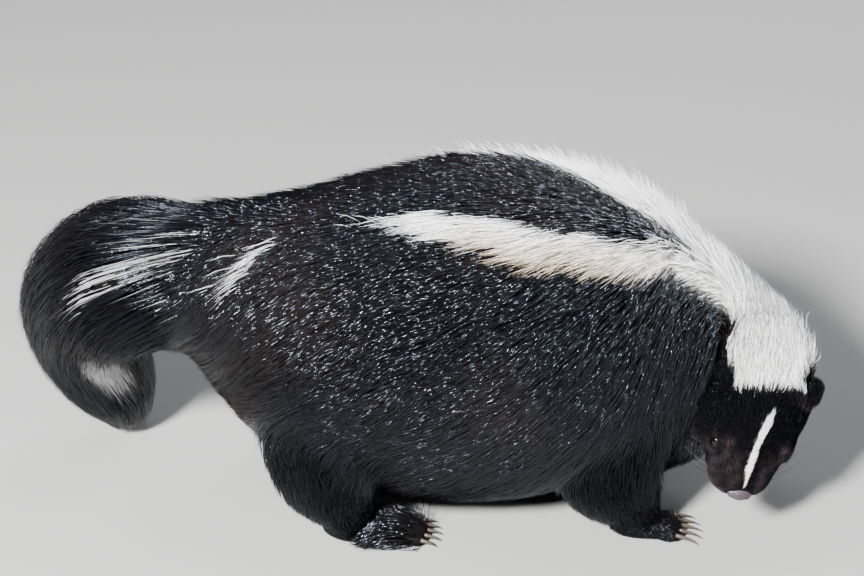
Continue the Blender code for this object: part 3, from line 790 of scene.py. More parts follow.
def stripes_white(s, a):
    """The two stripes, the nape and the rump's streak, for shares and angles of the trunk."""
    near = inside(a, read(NEAR_EDGE, s), read(NEAR_TOP, s), STRIPE_SOFT) * np.clip((s - 0.26) / 0.12, 0, 1)
    far = inside(a, read(FAR_TOP, s), read(FAR_EDGE, s), STRIPE_SOFT) * np.clip((s - 0.36) / 0.12, 0, 1)
    nape = inside(a, read(NEAR_EDGE, s), read(FAR_EDGE, s), STRIPE_SOFT) * np.clip((s - 0.815) / 0.02, 0, 1)
    rump = inside(s - read(RUMP_STREAK, a), -0.006, 0.006, 0.006) * inside(a, -63, -30, 14)
    return np.maximum.reduce([near, far, nape, rump])


def head_white(x, y, z, wave):
    """The cap and the blaze, for places of the head in millimetres."""
    floor_of_cap = np.interp(x, (-15, 5), (-25, 12))
    cap = inside(x + wave * 0.8 + 0.155 * y, -60, 17.3, 1.5) * inside(y + wave, -27, 31, 2)
    cap *= np.clip((z - floor_of_cap) / 3, 0, 1)
    blaze = inside(y - read(BLAZE_AT, x), -read(BLAZE_HALF, x), read(BLAZE_HALF, x), 0.8)
    blaze *= np.clip((z + 2) / 3, 0, 1) * inside(x, 31, 75, 1)
    return np.maximum(cap, blaze)


def tail_white(s, a):
    """The streaks along the tail, and the tuft near its end."""
    bright = inside(a + 3 - read(TAIL_STREAK, s), -5, 5, 6) * inside(s, 0.2, 0.42, 0.08)
    pale = inside(a - read(TAIL_SHADOW, s), -9, 9, 12) * inside(s, 0.17, 0.27, 0.05)
    frost = inside(a, 22, 88, 24) * inside(s, 0.17, 0.40, 0.1)
    tuft = inside(a, 96, 132, 12) * inside(s, 0.55, 0.83, 0.08)
    return np.maximum.reduce([0.8 * bright, 0.22 * pale, 0.04 * frost, tuft])


def white_at(points, kind, at, turn):
    """How white the coat is at points with their form's number, share and angle."""
    rough = cloud(points, 5, 21) * 0.9 + cloud(points, 14, 22) * 0.9
    white = np.zeros(len(points))
    trunk, on_head, tail = (is_form(kind, name) for name in ("trunk", "head", "tail"))
    white[trunk] = stripes_white(at[trunk], turn[trunk] + rough[trunk] * 1.3)
    white[on_head] = head_white(*head_place(points)[on_head].T, rough[on_head])
    white[near_ear(points, EAR_DARK)] = 0
    white[tail] = tail_white(at[tail], turn[tail] + rough[tail] * 4)
    return white


white = white_at(places, owner, share, angle)
print("white share of the skin", round(float(white.mean()), 3))

# %% [markdown]
# Black hair looks brown in soft patches, most on the shoulder, the rump and the sides of the neck, and
# the muzzle is mottled. White hair looks cream along the lower edge of the near stripe. These two casts
# are functions of the place in the same way.

# %% Brown and cream casts
LID_MARKS = ((52, 17.5), (58.5, 17))
EAR_PLAIN = 1.7


def brown_at(points, kind, at, turn):
    """How brown the black hair looks, in soft patches that are strongest on shoulder, rump and neck."""
    patches = np.clip(0.35 + 0.8 * cloud(points, 26, 31), 0, 1)
    where = np.where(is_form(kind, "trunk"), 0.25 + 0.75 * inside(at, 0.52, 0.74, 0.15)
                     * inside(turn, -105, -45, 30) + 0.4 * inside(at, 0.02, 0.2, 0.1), 0.12)
    x, y = head_place(points)[:, :2].T
    aside = np.abs(y)
    muzzle = np.clip((x - 53) / 10, 0, 1) * np.clip((aside - 3) / 4, 0, 1)
    cheek = 0.8 * np.exp(-((x - 55) / 6) ** 2 - ((aside - 22) / 7) ** 2)
    neck_side = 0.5 * np.clip((22 - x) / 8, 0, 1)
    mottled = 0.6 + 0.5 * cloud(points, 2.2, 35)
    marks = sum(np.exp(-((x - ahead) ** 2 + (aside - wide) ** 2) / 7) for ahead, wide in LID_MARKS)
    face = np.maximum.reduce([0.42 * muzzle * mottled, 0.35 * cheek * mottled, 0.4 * neck_side * patches,
                              0.5 * marks])
    face *= ~near_ear(points, EAR_PLAIN)
    return np.clip(np.where(is_form(kind, "head"), face, patches * where), 0, 1)


def cream_at(points, kind, at, turn):
    """How cream or orange the white hair looks, which is most along the lower edge of the near stripe."""
    above_edge = turn + 4 * cloud(points, 7, 34) - read(NEAR_EDGE, at)
    low_edge = np.clip(1.7 - above_edge / 7, 0, 1) * inside(at, 0.44, 0.74, 0.08)
    soft = 0.12 * np.clip(cloud(points, 12, 33), 0, 1)
    return np.where(is_form(kind, "trunk"), 0.85 * low_edge, 0.05) + soft


brown = brown_at(places, owner, share, angle)
print("mean brown of the skin", round(float(brown.mean()), 3))

# %% [markdown]
# A tuft is a few hairs that cling together: a thin closed blade of three sides, widest near its middle
# and pointed at its tip. The export has no use for hair curves, so the tufts are plain mesh, written with
# numpy arrays because there are so many of them. Their roots are spread evenly over the skin, as closely
# as the density field says, and none stands on the nose pad, the lids or the soles.

# %% Roots of the tufts
SOLE_BARE = 1.6
NOSE_BARE = (7.6, 8.3, 5.6)
LID_BARE = (5.2, 4.0)
LID_BARE_DEPTH = 8

skin_tree = BVHTree.FromPolygons([Vector(p) for p in places], faces)
corners = np.array([(f[0], f[i], f[i + 1], n) for n, f in enumerate(faces) for i in range(1, len(f) - 1)])
areas = np.linalg.norm(np.cross(places[corners[:, 1]] - places[corners[:, 0]],
                                places[corners[:, 2]] - places[corners[:, 0]]), axis=1) / 2 / MM**2
first_corner = np.array([face[0] for face in faces])


def bare(points):
    """Where no hair grows: nose pad, lids and soles."""
    hidden = points[:, 2] < SOLE_BARE * MM
    hidden |= np.linalg.norm((head_place(points) - np.array(NOSE_AT)) / np.array(NOSE_BARE), axis=1) < 1
    for _, side in SIDES:
        local = in_axes(points, in_head(EYE_AT, side), eye_axes(side))
        on_lid = np.hypot(local[:, 1] / LID_BARE[0], local[:, 2] / LID_BARE[1]) < 1
        hidden |= on_lid & (np.abs(local[:, 0]) < LID_BARE_DEPTH)
    return hidden


rng = np.random.default_rng(5)
expected = areas * density[corners[:, :3]].mean(1)
total = int(expected.sum())
draws = (np.arange(total) + rng.random(total)) / total * expected.sum()
picks = np.searchsorted(np.cumsum(expected), draws)
picks = np.minimum(picks, len(corners) - 1)
weights = rng.dirichlet((1, 1, 1), total)


def mixed(values):
    """A field of the skin at the roots."""
    picked = values[corners[picks, :3]]
    return (picked * (weights if values.ndim == 1 else weights[:, :, None])).sum(1)


roots, root_normals = mixed(places), unit(mixed(normals))
keep = ~bare(roots)
picks, weights, roots, root_normals = picks[keep], weights[keep], roots[keep], root_normals[keep]
root_owner = owner[corners[picks, 0]]
root_share, root_angle = mixed(share), angle[corners[picks, 0]]
root_length, root_height, root_width = mixed(length), mixed(height), mixed(width)
root_lie = unit(mixed(lie))
is_ear = ears[corners[picks, 0]]
print(len(roots), "tufts")

# %% [markdown]
# Where the white hair ends along the back, a few fine hairs stand up from the rest and catch the light.
# Those wisps are chosen by chance, often along the upper edges of the stripes and rarely inside them.
# They are high, short and thin.

# %% Wisps
WISP_HEIGHT, WISP_LENGTH, WISP_WIDTH = 19, 15, 0.28
WISPS_AT_EDGE, WISPS_INSIDE = 0.22, 0.03
near_top, far_top = read(NEAR_TOP, root_share), read(FAR_TOP, root_share)
white_there = white_at(roots, root_owner, root_share, root_angle)
white_there *= is_form(root_owner, "trunk") * (root_share < 0.82)
top_edges = np.maximum(inside(root_angle, near_top - 6, near_top + 2, 3),
                       inside(root_angle, far_top - 2, read(FAR_EDGE, root_share), 3))
is_wisp = rng.random(len(roots)) < white_there * np.maximum(WISPS_AT_EDGE * top_edges, WISPS_INSIDE)
root_height[is_wisp] = WISP_HEIGHT * MM
root_length[is_wisp] = WISP_LENGTH * MM
root_width[is_wisp] = WISP_WIDTH * MM
print(int(is_wisp.sum()), "wisps")

# %% [markdown]
# On the body each tuft walks over the skin from its root, step by step, along the lie of the coat, while
# it rises to the height of the coat. At each step the nearest point of the skin is found, so that a long
# hair follows the hollows and humps under it.

# %% Tufts that walk over the skin
def walked(rows, steps):
    """The path of each tuft over the skin, and the way out at each step."""
    vary = rng.uniform(0.7, 1.15, len(rows))
    tip = root_height[rows] * rng.uniform(0.5, 1.05, len(rows))
    stray = rng.normal(0, 0.11, len(rows)) + 0.16 * cloud(roots[rows], 9, 41)
    point, out, way = roots[rows].copy(), root_normals[rows].copy(), root_lie[rows].copy()
    path, outs = [point - out * 0.8 * MM], [out]
    for k in range(1, steps + 1):
        onward = unit(way + np.cross(out, way) * np.tan(stray)[:, None])
        target = point + onward * (root_length[rows] * vary / steps)[:, None]
        found = [skin_tree.find_nearest(spot) for spot in target.tolist()]
        point = np.array([hit[0][:] for hit in found])
        corner = first_corner[[hit[2] for hit in found]]
        out = unit(normals[corner] + out * 0.5)
        way = unit(lie[corner] + way)
        path.append(point + out * (tip * (1 - (1 - k / steps) ** 1.5))[:, None])
        outs.append(out)
    return np.stack(path, 1), np.stack(outs, 1)


print("skin tree of", len(faces), "faces")

# %% [markdown]
# On the tail the hair is so long that the skin is no guide. There the tufts leave the thin core, run down
# the tail and droop over its sides, and end near the outline of the plume. Where the tail hangs straight
# down they do not droop.

# %% Tufts of the plume
DROOP = math.radians(85)


def plumed(rows, steps):
    """The path of each tuft of the tail, and the way out at each step."""
    form = FORMS["tail"]
    start, turned = np.minimum(root_share[rows], 0.92), np.radians(root_angle[rows])
    reach = root_length[rows] * rng.uniform(0.65, 1.15, len(rows)) / form.length
    reach = np.minimum(reach, np.maximum(1.03 - start, 0.1) * rng.uniform(0.75, 1, len(rows)))
    top = 1 - 0.42 * rng.random(len(rows)) ** 1.8
    stray = rng.normal(0, 0.10, len(rows)) + 0.15 * cloud(roots[rows], 14, 41)
    core = read(TAIL_CORE, start) - 0.03
    path, outs = [], []
    for k in range(steps + 1):
        part = k / steps
        at = start + reach * part
        i = np.clip(np.round(at * (form.SAMPLES - 1)).astype(int), 0, form.SAMPLES - 1)
        level = 1 - np.abs(form.along[i, 2])
        swing = turned + (DROOP * np.sin(turned) * level + stray) * reach / 0.35 * part
        tall = np.where(np.cos(swing) > 0, form.sizes[i, 1], form.sizes[i, 2])
        close = np.sqrt(np.clip(1 - (np.maximum(at - 0.82, 0) / 0.26) ** 2, 0.05, 1))
        spread = (core + (top - core) * (1 - (1 - part) ** 1.7)) * close
        radial = form.left[i] * (form.sizes[i, 0] * np.sin(swing))[:, None]
        radial += form.up[i] * (tall * np.cos(swing))[:, None]
        past = form.along[i] * (np.maximum(at - 1, 0) * form.length)[:, None]
        path.append(form.centre[i] + past + radial * spread[:, None])
        outs.append(unit(radial))
    return np.stack(path, 1), np.stack(outs, 1)


print("droop", round(math.degrees(DROOP)), "degrees")

# %% [markdown]
# Neighbours lean towards a guide tuft, which gives the coat its fine parted look. Then the tufts are made
# in groups. The colour of each tuft is drawn by chance from the markings at the place where it shows. On
# the tail the cast turns white hair grey and mottled, while wisps are always white and ears always black.

# %% Groups of tufts
def gathered(path, every, pull):
    """Leans each tuft towards the nearest of the guide tufts, more and more to its tip."""
    guides = np.arange(0, len(path), every)
    tree = KDTree(len(guides))
    for i, g in enumerate(guides):
        tree.insert(path[g, 0], i)
    tree.balance()
    nearest = np.array([guides[tree.find(p)[1]] for p in path[:, 0]])
    part = np.linspace(0, 1, path.shape[1])[None, :, None]
    meant = path[nearest] + (path[:, :1] - path[nearest, :1]) * (1 - 0.75 * part)
    return path + (meant - path) * pull * part**1.3


# Which roots, how their paths are made, steps, one guide in so many tufts, and the pull to it
GROUPS = {
    "trunk": (is_form(root_owner, "trunk") & ~is_wisp, walked, 2, 7, 0.24),
    "wisps": (is_wisp, walked, 3, 5, 0.2),
    "tail": (is_form(root_owner, "tail"), plumed, 3, 7, 0.25),
    "head": (is_form(root_owner, "head") & ~is_ear, walked, 2, 5, 0.2),
    "ears": (is_form(root_owner, "head") & is_ear, walked, 2, 5, 0.1),
    "legs": (is_form(root_owner, *LEG_NAMES), walked, 2, 7, 0.25),
}
FLOOR_GAP = 0.6
EAR_BLACK = 1.1
coat = {}
for group, (chosen, make, steps, every, pull) in GROUPS.items():
    rows = np.flatnonzero(chosen)
    path, outs = make(rows, steps)
    path = gathered(path, every, pull)
    path[:, :, 2] = np.maximum(path[:, :, 2], FLOOR_GAP * MM)
    shown = path[:, -2] * 0.6 + path[:, -1] * 0.4
    kind, at, turn = found_at(shown)
    amount = white_at(shown, kind, at, turn) * ~near_ear(roots[rows], EAR_BLACK)
    cream = cream_at(shown, kind, at, turn)
    if group == "tail":
        cream = np.clip(0.8 - amount + 0.4 * rng.random(len(rows)), 0, 0.95)
        amount = np.minimum(1, amount * 1.4)
    if group == "wisps":
        amount[:] = 1
    tan = brown_at(shown, kind, at, turn) * (group != "ears")
    coat[group] = {"rows": rows, "path": path, "outs": outs, "is_white": rng.random(len(rows)) < amount,
                   "brown": tan, "cream": cream}
    print(group, len(rows), "tufts,", int(coat[group]["is_white"].sum()), "white")

# %% [markdown]
# The mesh of a group is built at once for all its tufts. Each has three corners at every station and one
# at its tip. Values that the materials need are kept as attributes: how far along the tuft a point lies,
# its cast and a random value. Each tuft also gets a small patch in a map called OFBake, at the place of
# its root on the unrolled skin, so that its colours can be baked.

# %% Meshes of tufts
PATCH = 0.003


def tuft_mesh(name, part_of, chosen, marks, fineness=1.0):
    """One object from chosen tufts of a group. marks are values per tuft, or per tuft and station."""
    rows, path, outs = (part_of[label][chosen] for label in ("rows", "path", "outs"))
    n, stations = path.shape[:2]
    rings = stations - 1
    each = rings * 3 + 1
    onward = np.gradient(path, axis=1)
    onward /= np.linalg.norm(onward, axis=2)[:, :, None]
    across = np.cross(onward, outs)
    across /= np.maximum(np.linalg.norm(across, axis=2), 1e-9)[:, :, None]
    lift = np.cross(across, onward)
    part = np.arange(rings) / rings
    wide = root_width[rows][:, None] * (0.65 + 1.5 * part - 1.9 * part**2)[None, :] * fineness
    points = []
    for degrees in (90, 210, 330):
        a = math.radians(degrees)
        points.append(path[:, :-1] + across[:, :-1] * (wide * math.cos(a))[:, :, None]
                      + lift[:, :-1] * (0.6 * wide * math.sin(a))[:, :, None])
    verts = np.concatenate([np.stack(points, 2).reshape(n, rings * 3, 3), path[:, -1:]], 1)
    quads, tris = [], [(0, 2, 1)]
    for k in range(rings - 1):
        for j in range(3):
            i, m = k * 3 + j, k * 3 + (j + 1) % 3
            quads.append((i, m, m + 3, i + 3))
    for j in range(3):
        tris.append((rings * 3 - 3 + j, rings * 3 - 3 + (j + 1) % 3, rings * 3))
    pattern = np.array([c for face in quads + tris for c in face])
    loops = (pattern[None, :] + (np.arange(n) * each)[:, None]).ravel()
    totals = np.tile([len(face) for face in quads + tris], n)
    mesh = bpy.data.meshes.new(name)
    mesh.vertices.add(n * each)
    mesh.vertices.foreach_set("co", verts.ravel())
    mesh.loops.add(len(loops))
    mesh.loops.foreach_set("vertex_index", loops)
    mesh.polygons.add(len(totals))
    mesh.polygons.foreach_set("loop_start", np.concatenate([[0], np.cumsum(totals)[:-1]]))
    mesh.update(calc_edges=True)
    mesh.shade_smooth()
    reached = np.arange(stations) / rings
    for label, values in dict(marks, along=np.tile(reached, (n, 1))).items():
        if values.ndim == 1:
            values = np.repeat(values[:, None], stations, 1)
        spread = np.concatenate([np.repeat(values[:, :-1], 3, 1), values[:, -1:]], 1)
        layer = mesh.attributes.new(label, "FLOAT", "POINT")
        layer.data.foreach_set("value", spread.astype(np.float32).ravel())
    kinds, strip = np.unique(root_owner[rows], return_inverse=True)
    home = np.stack([(strip + 0.02 + 0.96 * root_share[rows]) / len(kinds),
                     0.01 + 0.98 * (root_angle[rows] + 180) / 360], 1)
    corner_of = np.stack([np.concatenate([np.tile((-0.5, 0.5, 0.0), rings), [0.0]]),
                          np.concatenate([np.repeat(reached[:-1], 3), [1.0]]) - 0.5], 1)
    uv = home[:, None, :] + PATCH * corner_of[None]
    layer = mesh.uv_layers.new(name="OFBake")
    layer.data.foreach_set("uv", uv.reshape(-1, 2)[loops].astype(np.float32).ravel())
    obj = bpy.data.objects.new(name, mesh)
    bpy.context.scene.collection.objects.link(obj)
    return obj


print("groups", {name: len(part_of["rows"]) for name, part_of in coat.items()})

# %% [markdown]
# The coat is divided into pieces, as a furrier would: rump, flanks, shoulders, tail, legs and head, with
# the white hair apart from the black, because the two have finishes of their own. White hair is finer.

# %% Pieces of the coat
ALL_ROUND, LEFT, RIGHT = (-180, 180), (0, 180), (-180, 0)
FIRST_FRONT_LEG = names.index("front_left") - 0.5
PIECES = (
    ("coat_rump", "trunk", 0, 0.3, ALL_ROUND, False),
    ("coat_flank_left", "trunk", 0.3, 0.62, LEFT, False),
    ("coat_flank_right", "trunk", 0.3, 0.62, RIGHT, False),
    ("coat_shoulder_left", "trunk", 0.62, 2, LEFT, False),
    ("coat_shoulder_right", "trunk", 0.62, 2, RIGHT, False),
    ("coat_stripes", "trunk", 0, 2, ALL_ROUND, True),
    ("coat_wisps", "wisps", 0, 2, ALL_ROUND, True),
    ("coat_tail_left", "tail", 0, 2, LEFT, False),
    ("coat_tail_right", "tail", 0, 2, RIGHT, False),
    ("coat_tail_white", "tail", 0, 2, ALL_ROUND, True),
    ("coat_legs_front", "legs", FIRST_FRONT_LEG, 9, ALL_ROUND, False),
    ("coat_legs_hind", "legs", 0, FIRST_FRONT_LEG, ALL_ROUND, False),
    ("coat_head", "head", 0, 0.62, ALL_ROUND, False),
    ("coat_face", "head", 0.62, 2, ALL_ROUND, False),
    ("coat_ears", "ears", 0, 2, ALL_ROUND, False),
    ("coat_cap_and_blaze", "head", 0, 2, ALL_ROUND, True),
)
STRIPE_CAST = (0.1, 0.7, 1.0)
WHITE_FINENESS = 0.55
coats = {}
for name, group, low, high, turns, as_white in PIECES:
    part_of = coat[group]
    own = part_of["rows"]
    measure = root_owner[own] if group == "legs" else root_share[own]
    chosen = (measure >= low) & (measure < high)
    chosen &= (root_angle[own] > turns[0]) & (root_angle[own] <= turns[1])
    chosen &= (part_of["is_white"] == as_white) | (group in ("legs", "ears"))
    marks = {"brown": part_of["cream" if as_white else "brown"][chosen], "vary": rng.random(chosen.sum())}
    if name == "coat_stripes":
        marks["brown"] = marks["brown"][:, None] * np.array(STRIPE_CAST)
    coats[name] = tuft_mesh(name, part_of, chosen, marks, WHITE_FINENESS if as_white else 1.0)
    triangles = sum(len(p.vertices) - 2 for p in coats[name].data.polygons)
    print(name, chosen.sum(), "tufts,", triangles, "triangles")

# %% [markdown]
# The eyes are small, black-brown and wet. Each is a ball that sits in its socket, with a slightly raised
# cornea. Every vertex keeps its angle from the middle of the pupil, so that the material can draw the
# iris without a picture.

# %% Eyes
CORNEA_RISE, CORNEA_FROM = 0.05, 0.6


def mark_points(obj, label, values):
    layer = obj.data.attributes.new(label, "FLOAT", "POINT")
    layer.data.foreach_set("value", np.asarray(values, np.float32))


def set_at_eye(shape, side):
    place = Matrix.Translation(in_head(EYE_AT, side)) @ eye_axes(side).to_4x4()
    bmesh.ops.transform(shape, matrix=place, verts=shape.verts)


eyes = {}
for word, side in SIDES:
    shape = bmesh.new()
    bmesh.ops.create_uvsphere(shape, u_segments=48, v_segments=32, radius=1)
    bmesh.ops.rotate(shape, verts=shape.verts, matrix=Matrix.Rotation(math.radians(90), 3, "Y"))
    for vert in shape.verts:
        bulge = CORNEA_RISE * max(0, vert.co.x - CORNEA_FROM) / (1 - CORNEA_FROM)
        vert.co *= EYE_RADIUS * MM * (1 + bulge)
    set_at_eye(shape, side)
    eye = put(f"eyeball_{word}", shape)
    look, centre = eye_axes(side).col[0], in_head(EYE_AT, side)
    cosines = [(vert.co - centre).normalized().dot(look) for vert in eye.data.vertices]
    mark_points(eye, "from_pupil", [math.acos(max(-1, min(1, cosine))) for cosine in cosines])
    eyes[word] = eye
print("eyes", [len(eye.data.polygons) for eye in eyes.values()])

# %% [markdown]
# The lids are a dark, thin rim round the opening. A small ring is spun round to make it, and is then
# pressed onto the ball of the eye, a little longer than high.

# %% Lids
RIM_RADIUS, RIM_REACH = 0.75, 4.0
RIM_LONG, RIM_HIGH, RIM_THICK = 1.12, 0.93, 0.9
lids = {}
for word, side in SIDES:
    shape = bmesh.new()
    ring = bmesh.ops.create_circle(shape, segments=10, radius=RIM_RADIUS * MM)["verts"]
    bmesh.ops.rotate(shape, verts=ring, matrix=Matrix.Rotation(math.radians(90), 3, "X"))
    bmesh.ops.translate(shape, verts=ring, vec=(RIM_REACH * MM, 0, 0))
    bmesh.ops.spin(shape, geom=shape.verts[:] + shape.edges[:], axis=(0, 0, 1), angle=2 * math.pi, steps=48,
                   use_merge=True)
    bmesh.ops.remove_doubles(shape, verts=shape.verts, dist=0.01 * MM)
    for vert in shape.verts:
        flat = Vector((vert.co.x * RIM_LONG, vert.co.y * RIM_HIGH, 0))
        rise = math.sqrt(max(0, (EYE_RADIUS * MM) ** 2 - flat.length_squared))
        vert.co = Vector((rise + vert.co.z * RIM_THICK, flat.x, flat.y))
    bmesh.ops.recalc_face_normals(shape, faces=shape.faces)
    set_at_eye(shape, side)
    lids[word] = put(f"eyelids_{word}", shape)
print("lids", [len(lid.data.polygons) for lid in lids.values()])

# %% [markdown]
# The nose is a bare, pebbled pad with a groove down its middle and two comma-shaped nostrils that open to
# the sides. It is fused from four balls, and each nostril is cut by a round ball and a flat one.

# %% Nose
PAD_BALLS = (
    ((76.0, 0, -2.6), (6.6, 7.3, 4.8), 1), ((77.6, 0, -4.4), (4.8, 5.0, 4.0), 1),
    ((76.8, 4.2, -3.2), (5.0, 3.6, 3.8), 1), ((76.8, 4.2, -3.2), (5.0, 3.6, 3.8), -1),
)
NOSTRIL, NOSTRIL_AT, NOSTRIL_TURN = (2.6, 1.5, 1.4), (81.6, 3.3, -3.4), 0.6
SLIT, SLIT_AT, SLIT_TURN = (2.6, 2.4, 0.65), (79.6, 6.2, -4.6), -0.7
GROOVE = ((84.5, 0, -1), (83.4, 0, -5), (80.5, 0, -9))
pad = [ball(in_head(at, side), radii, HEAD_TURN) for at, radii, side in PAD_BALLS]
nose = clay("nose_pad", pad, 0.3, 6)
for _, side in SIDES:
    turn = HEAD_TURN @ Matrix.Rotation(side * NOSTRIL_TURN, 3, "Z")
    hole = ball(in_head(NOSTRIL_AT, side), NOSTRIL, turn)
    boolean(nose, put("nostril", hole), "DIFFERENCE")
    slit = ball(in_head(SLIT_AT, side), SLIT, HEAD_TURN @ Matrix.Rotation(side * SLIT_TURN, 3, "X"))
    boolean(nose, put("nostril_slit", slit), "DIFFERENCE")
groove = rod([in_head(point) for point in GROOVE], [0.35, 0.5, 0.5], 8)
boolean(nose, put("groove", groove), "DIFFERENCE")
smoothed(nose, 1)
print("nose", len(nose.data.polygons), "faces")

# %% [markdown]
# The claws are long on the front feet, for digging, and short behind. Each is a curved rod that thins to
# a point. It starts inside its toe, so that no gap shows.

# %% Claws
CLAW_RADIUS, CLAW_BEND = 1.35, 0.33
CLAW_AHEAD, CLAW_RISE, CLAW_ROOT = 4.5, 5, 1.5


def horn(base, way, reach, radius, bend, steps=7, sides=8):
    """A curved, pointed rod; bend is the drop of its point as a share of its length."""
    path = [base + way * reach * k / steps - Vector((0, 0, 1)) * reach * bend * (k / steps) ** 2
            for k in range(steps + 1)]
    return rod(path, [radius * max(0.05, 1 - (k / steps) ** 1.4) for k in range(steps + 1)], sides)


horns = []
for _, _, foot in LEGS:
    for _, side in SIDES:
        for place, way in toe_roots(foot, side):
            base = place + way * CLAW_AHEAD * MM + Vector((0, 0, CLAW_RISE * MM))
            horns.append(horn(base, way, (foot["claw"] + CLAW_ROOT) * MM, CLAW_RADIUS, CLAW_BEND))
claws = put("claws", *horns)
low_point = min(v.co.z for v in claws.data.vertices)
print("claws", len(claws.data.polygons), "faces, lowest point", round(low_point * 1000, 2), "mm")

# %% [markdown]
# A few fine whiskers stand in three rows on each whisker pad. They are thin rods that bend back, with a
# little chance in their way and length.

# %% Whiskers
WHISKER_ROWS, WHISKERS_IN_ROW = 3, 4
WHISKER_RADIUS, WHISKER_BEND, WHISKER_ROOT = 0.16, 0.45, 1.5
chance = np.random.default_rng(9)
steps = np.linspace(0, 1, 8)
backward = (HEAD_TURN @ Vector((-1, 0, -0.2))).normalized()
strands = []
for _, side in SIDES:
    for row in range(WHISKER_ROWS):
        for k in range(WHISKERS_IN_ROW):
            start = in_head((70 - 3.2 * k, 13.2 + 1.6 * k, -4.5 - 2.6 * row), side)
            way = Vector((-0.25 + chance.uniform(-0.2, 0.2), side * 1.0,
                          -0.25 * row + chance.uniform(-0.1, 0.15)))
            out = (HEAD_TURN @ way).normalized()
            reach = chance.uniform(18, 30) * MM
            path = [start - out * WHISKER_ROOT * MM + out * reach * t
                    + backward * reach * WHISKER_BEND * t * t for t in steps]
            strands.append(rod(path, [WHISKER_RADIUS * (1 - 0.85 * t) for t in steps], 5))
whiskers = put("whiskers", *strands)
print("whiskers", len(strands))

# %% [markdown]
# Finishes. Hair is a smooth, glossy thread, so its roughness is low and each tuft catches a small light.
# The colour of a black hair is never quite black: it has a brown cast in places and is paler at the tip.
# Its darker root is partly painted shade, where the hairs cover each other.
# One group of nodes mixes these, and each material sets its own colours. A second group makes the pebbles
# of bare skin.

# %% Shader groups
def new_group(name, inputs, outputs):
    group = bpy.data.node_groups.new(name, "ShaderNodeTree")
    for label, kind in inputs:
        group.interface.new_socket(name=label, in_out="INPUT", socket_type=kind)
    for label, kind in outputs:
        group.interface.new_socket(name=label, in_out="OUTPUT", socket_type=kind)
    return group, group.nodes.new("NodeGroupInput"), group.nodes.new("NodeGroupOutput")


COLOUR, VALUE, VECTOR = "NodeSocketColor", "NodeSocketFloat", "NodeSocketVector"


def mix_colour(tree, factor, a, b):
    node = tree.nodes.new("ShaderNodeMix")
    node.data_type = "RGBA"
    for socket, value in ((node.inputs[0], factor), (node.inputs[6], a), (node.inputs[7], b)):
        if hasattr(value, "links"):
            tree.links.new(value, socket)
        else:
            socket.default_value = value
    return node.outputs[2]


def remap(tree, value, from_low, from_high, to_low, to_high):
    node = tree.nodes.new("ShaderNodeMapRange")
    tree.links.new(value, node.inputs["Value"])
    limits = {"From Min": from_low, "From Max": from_high, "To Min": to_low, "To Max": to_high}
    for label, number in limits.items():
        node.inputs[label].default_value = number
    return node.outputs["Result"]


hair_tone, given, made = new_group(
    "hair_tone", [("Root", COLOUR), ("Tip", COLOUR), ("Cast", COLOUR), ("Along", VALUE), ("Vary", VALUE),
                  ("Amount", VALUE)], [("Colour", COLOUR), ("Roughness", VALUE)])
# From root to tip; the darker root is partly painted shade between the hairs.
plain = mix_colour(hair_tone, given.outputs["Along"], given.outputs["Root"], given.outputs["Tip"])
cast = mix_colour(hair_tone, given.outputs["Amount"], plain, given.outputs["Cast"])
dimming = remap(hair_tone, given.outputs["Vary"], 0, 1, 0, 0.35)
shade = mix_colour(hair_tone, dimming, cast, (0.0, 0.0, 0.0, 1))
hair_tone.links.new(shade, made.inputs["Colour"])
hair_tone.links.new(remap(hair_tone, given.outputs["Vary"], 0, 1, 0.10, 0.30), made.inputs["Roughness"])

pebbles, given, made = new_group("pebbles", [("Place", VECTOR), ("Scale", VALUE)], [("Height", VALUE)])
cells = pebbles.nodes.new("ShaderNodeTexVoronoi")
pebbles.links.new(given.outputs["Place"], cells.inputs["Vector"])
pebbles.links.new(given.outputs["Scale"], cells.inputs["Scale"])
pebbles.links.new(remap(pebbles, cells.outputs["Distance"], 0, 0.6, 1, 0), made.inputs["Height"])
print("groups of nodes", [group.name for group in bpy.data.node_groups])

# %% [markdown]
# A few helpers save writing the same nodes again: a new material with its roughness and gloss, a colour
# between two others, noise or pebbles over the object's own coordinates, and bumps from them.

# %% Helpers for the materials
def new_material(name, roughness=0.5, gloss=0.5):
    material = bpy.data.materials.new(name)
    material.use_nodes = True
    shader = material.node_tree.nodes["Principled BSDF"]
    shader.inputs["Roughness"].default_value = roughness
    shader.inputs["Specular IOR Level"].default_value = gloss
    return material, material.node_tree, shader


def attribute(tree, label):
    node = tree.nodes.new("ShaderNodeAttribute")
    node.attribute_name = label
    return node.outputs["Fac"]


def group_node(tree, group):
    node = tree.nodes.new("ShaderNodeGroup")
    node.node_tree = group
    return node


def over_object(tree, node, socket, scale):
    """Lays a texture over the object's own coordinates."""
    node.inputs["Scale"].default_value = scale
    tree.links.new(tree.nodes.new("ShaderNodeTexCoord").outputs["Object"], node.inputs[socket])
    return node


def noise(tree, scale):
    return over_object(tree, tree.nodes.new("ShaderNodeTexNoise"), "Vector", scale).outputs["Fac"]


def grain(tree, scale):
    return over_object(tree, group_node(tree, pebbles), "Place", scale).outputs["Height"]


def paint(tree, shader, factor, first, second):
    """Colours a surface from one colour to another, as the factor goes from 0 to 1."""
    tree.links.new(mix_colour(tree, factor, (*first, 1), (*second, 1)), shader.inputs["Base Color"])


def bumps(tree, shader, relief, strength, depth):
    bump = tree.nodes.new("ShaderNodeBump")
    bump.inputs["Strength"].default_value = strength
    bump.inputs["Distance"].default_value = depth
    tree.links.new(relief, bump.inputs["Height"])
    tree.links.new(bump.outputs["Normal"], shader.inputs["Normal"])


print("materials so far", len(bpy.data.materials))

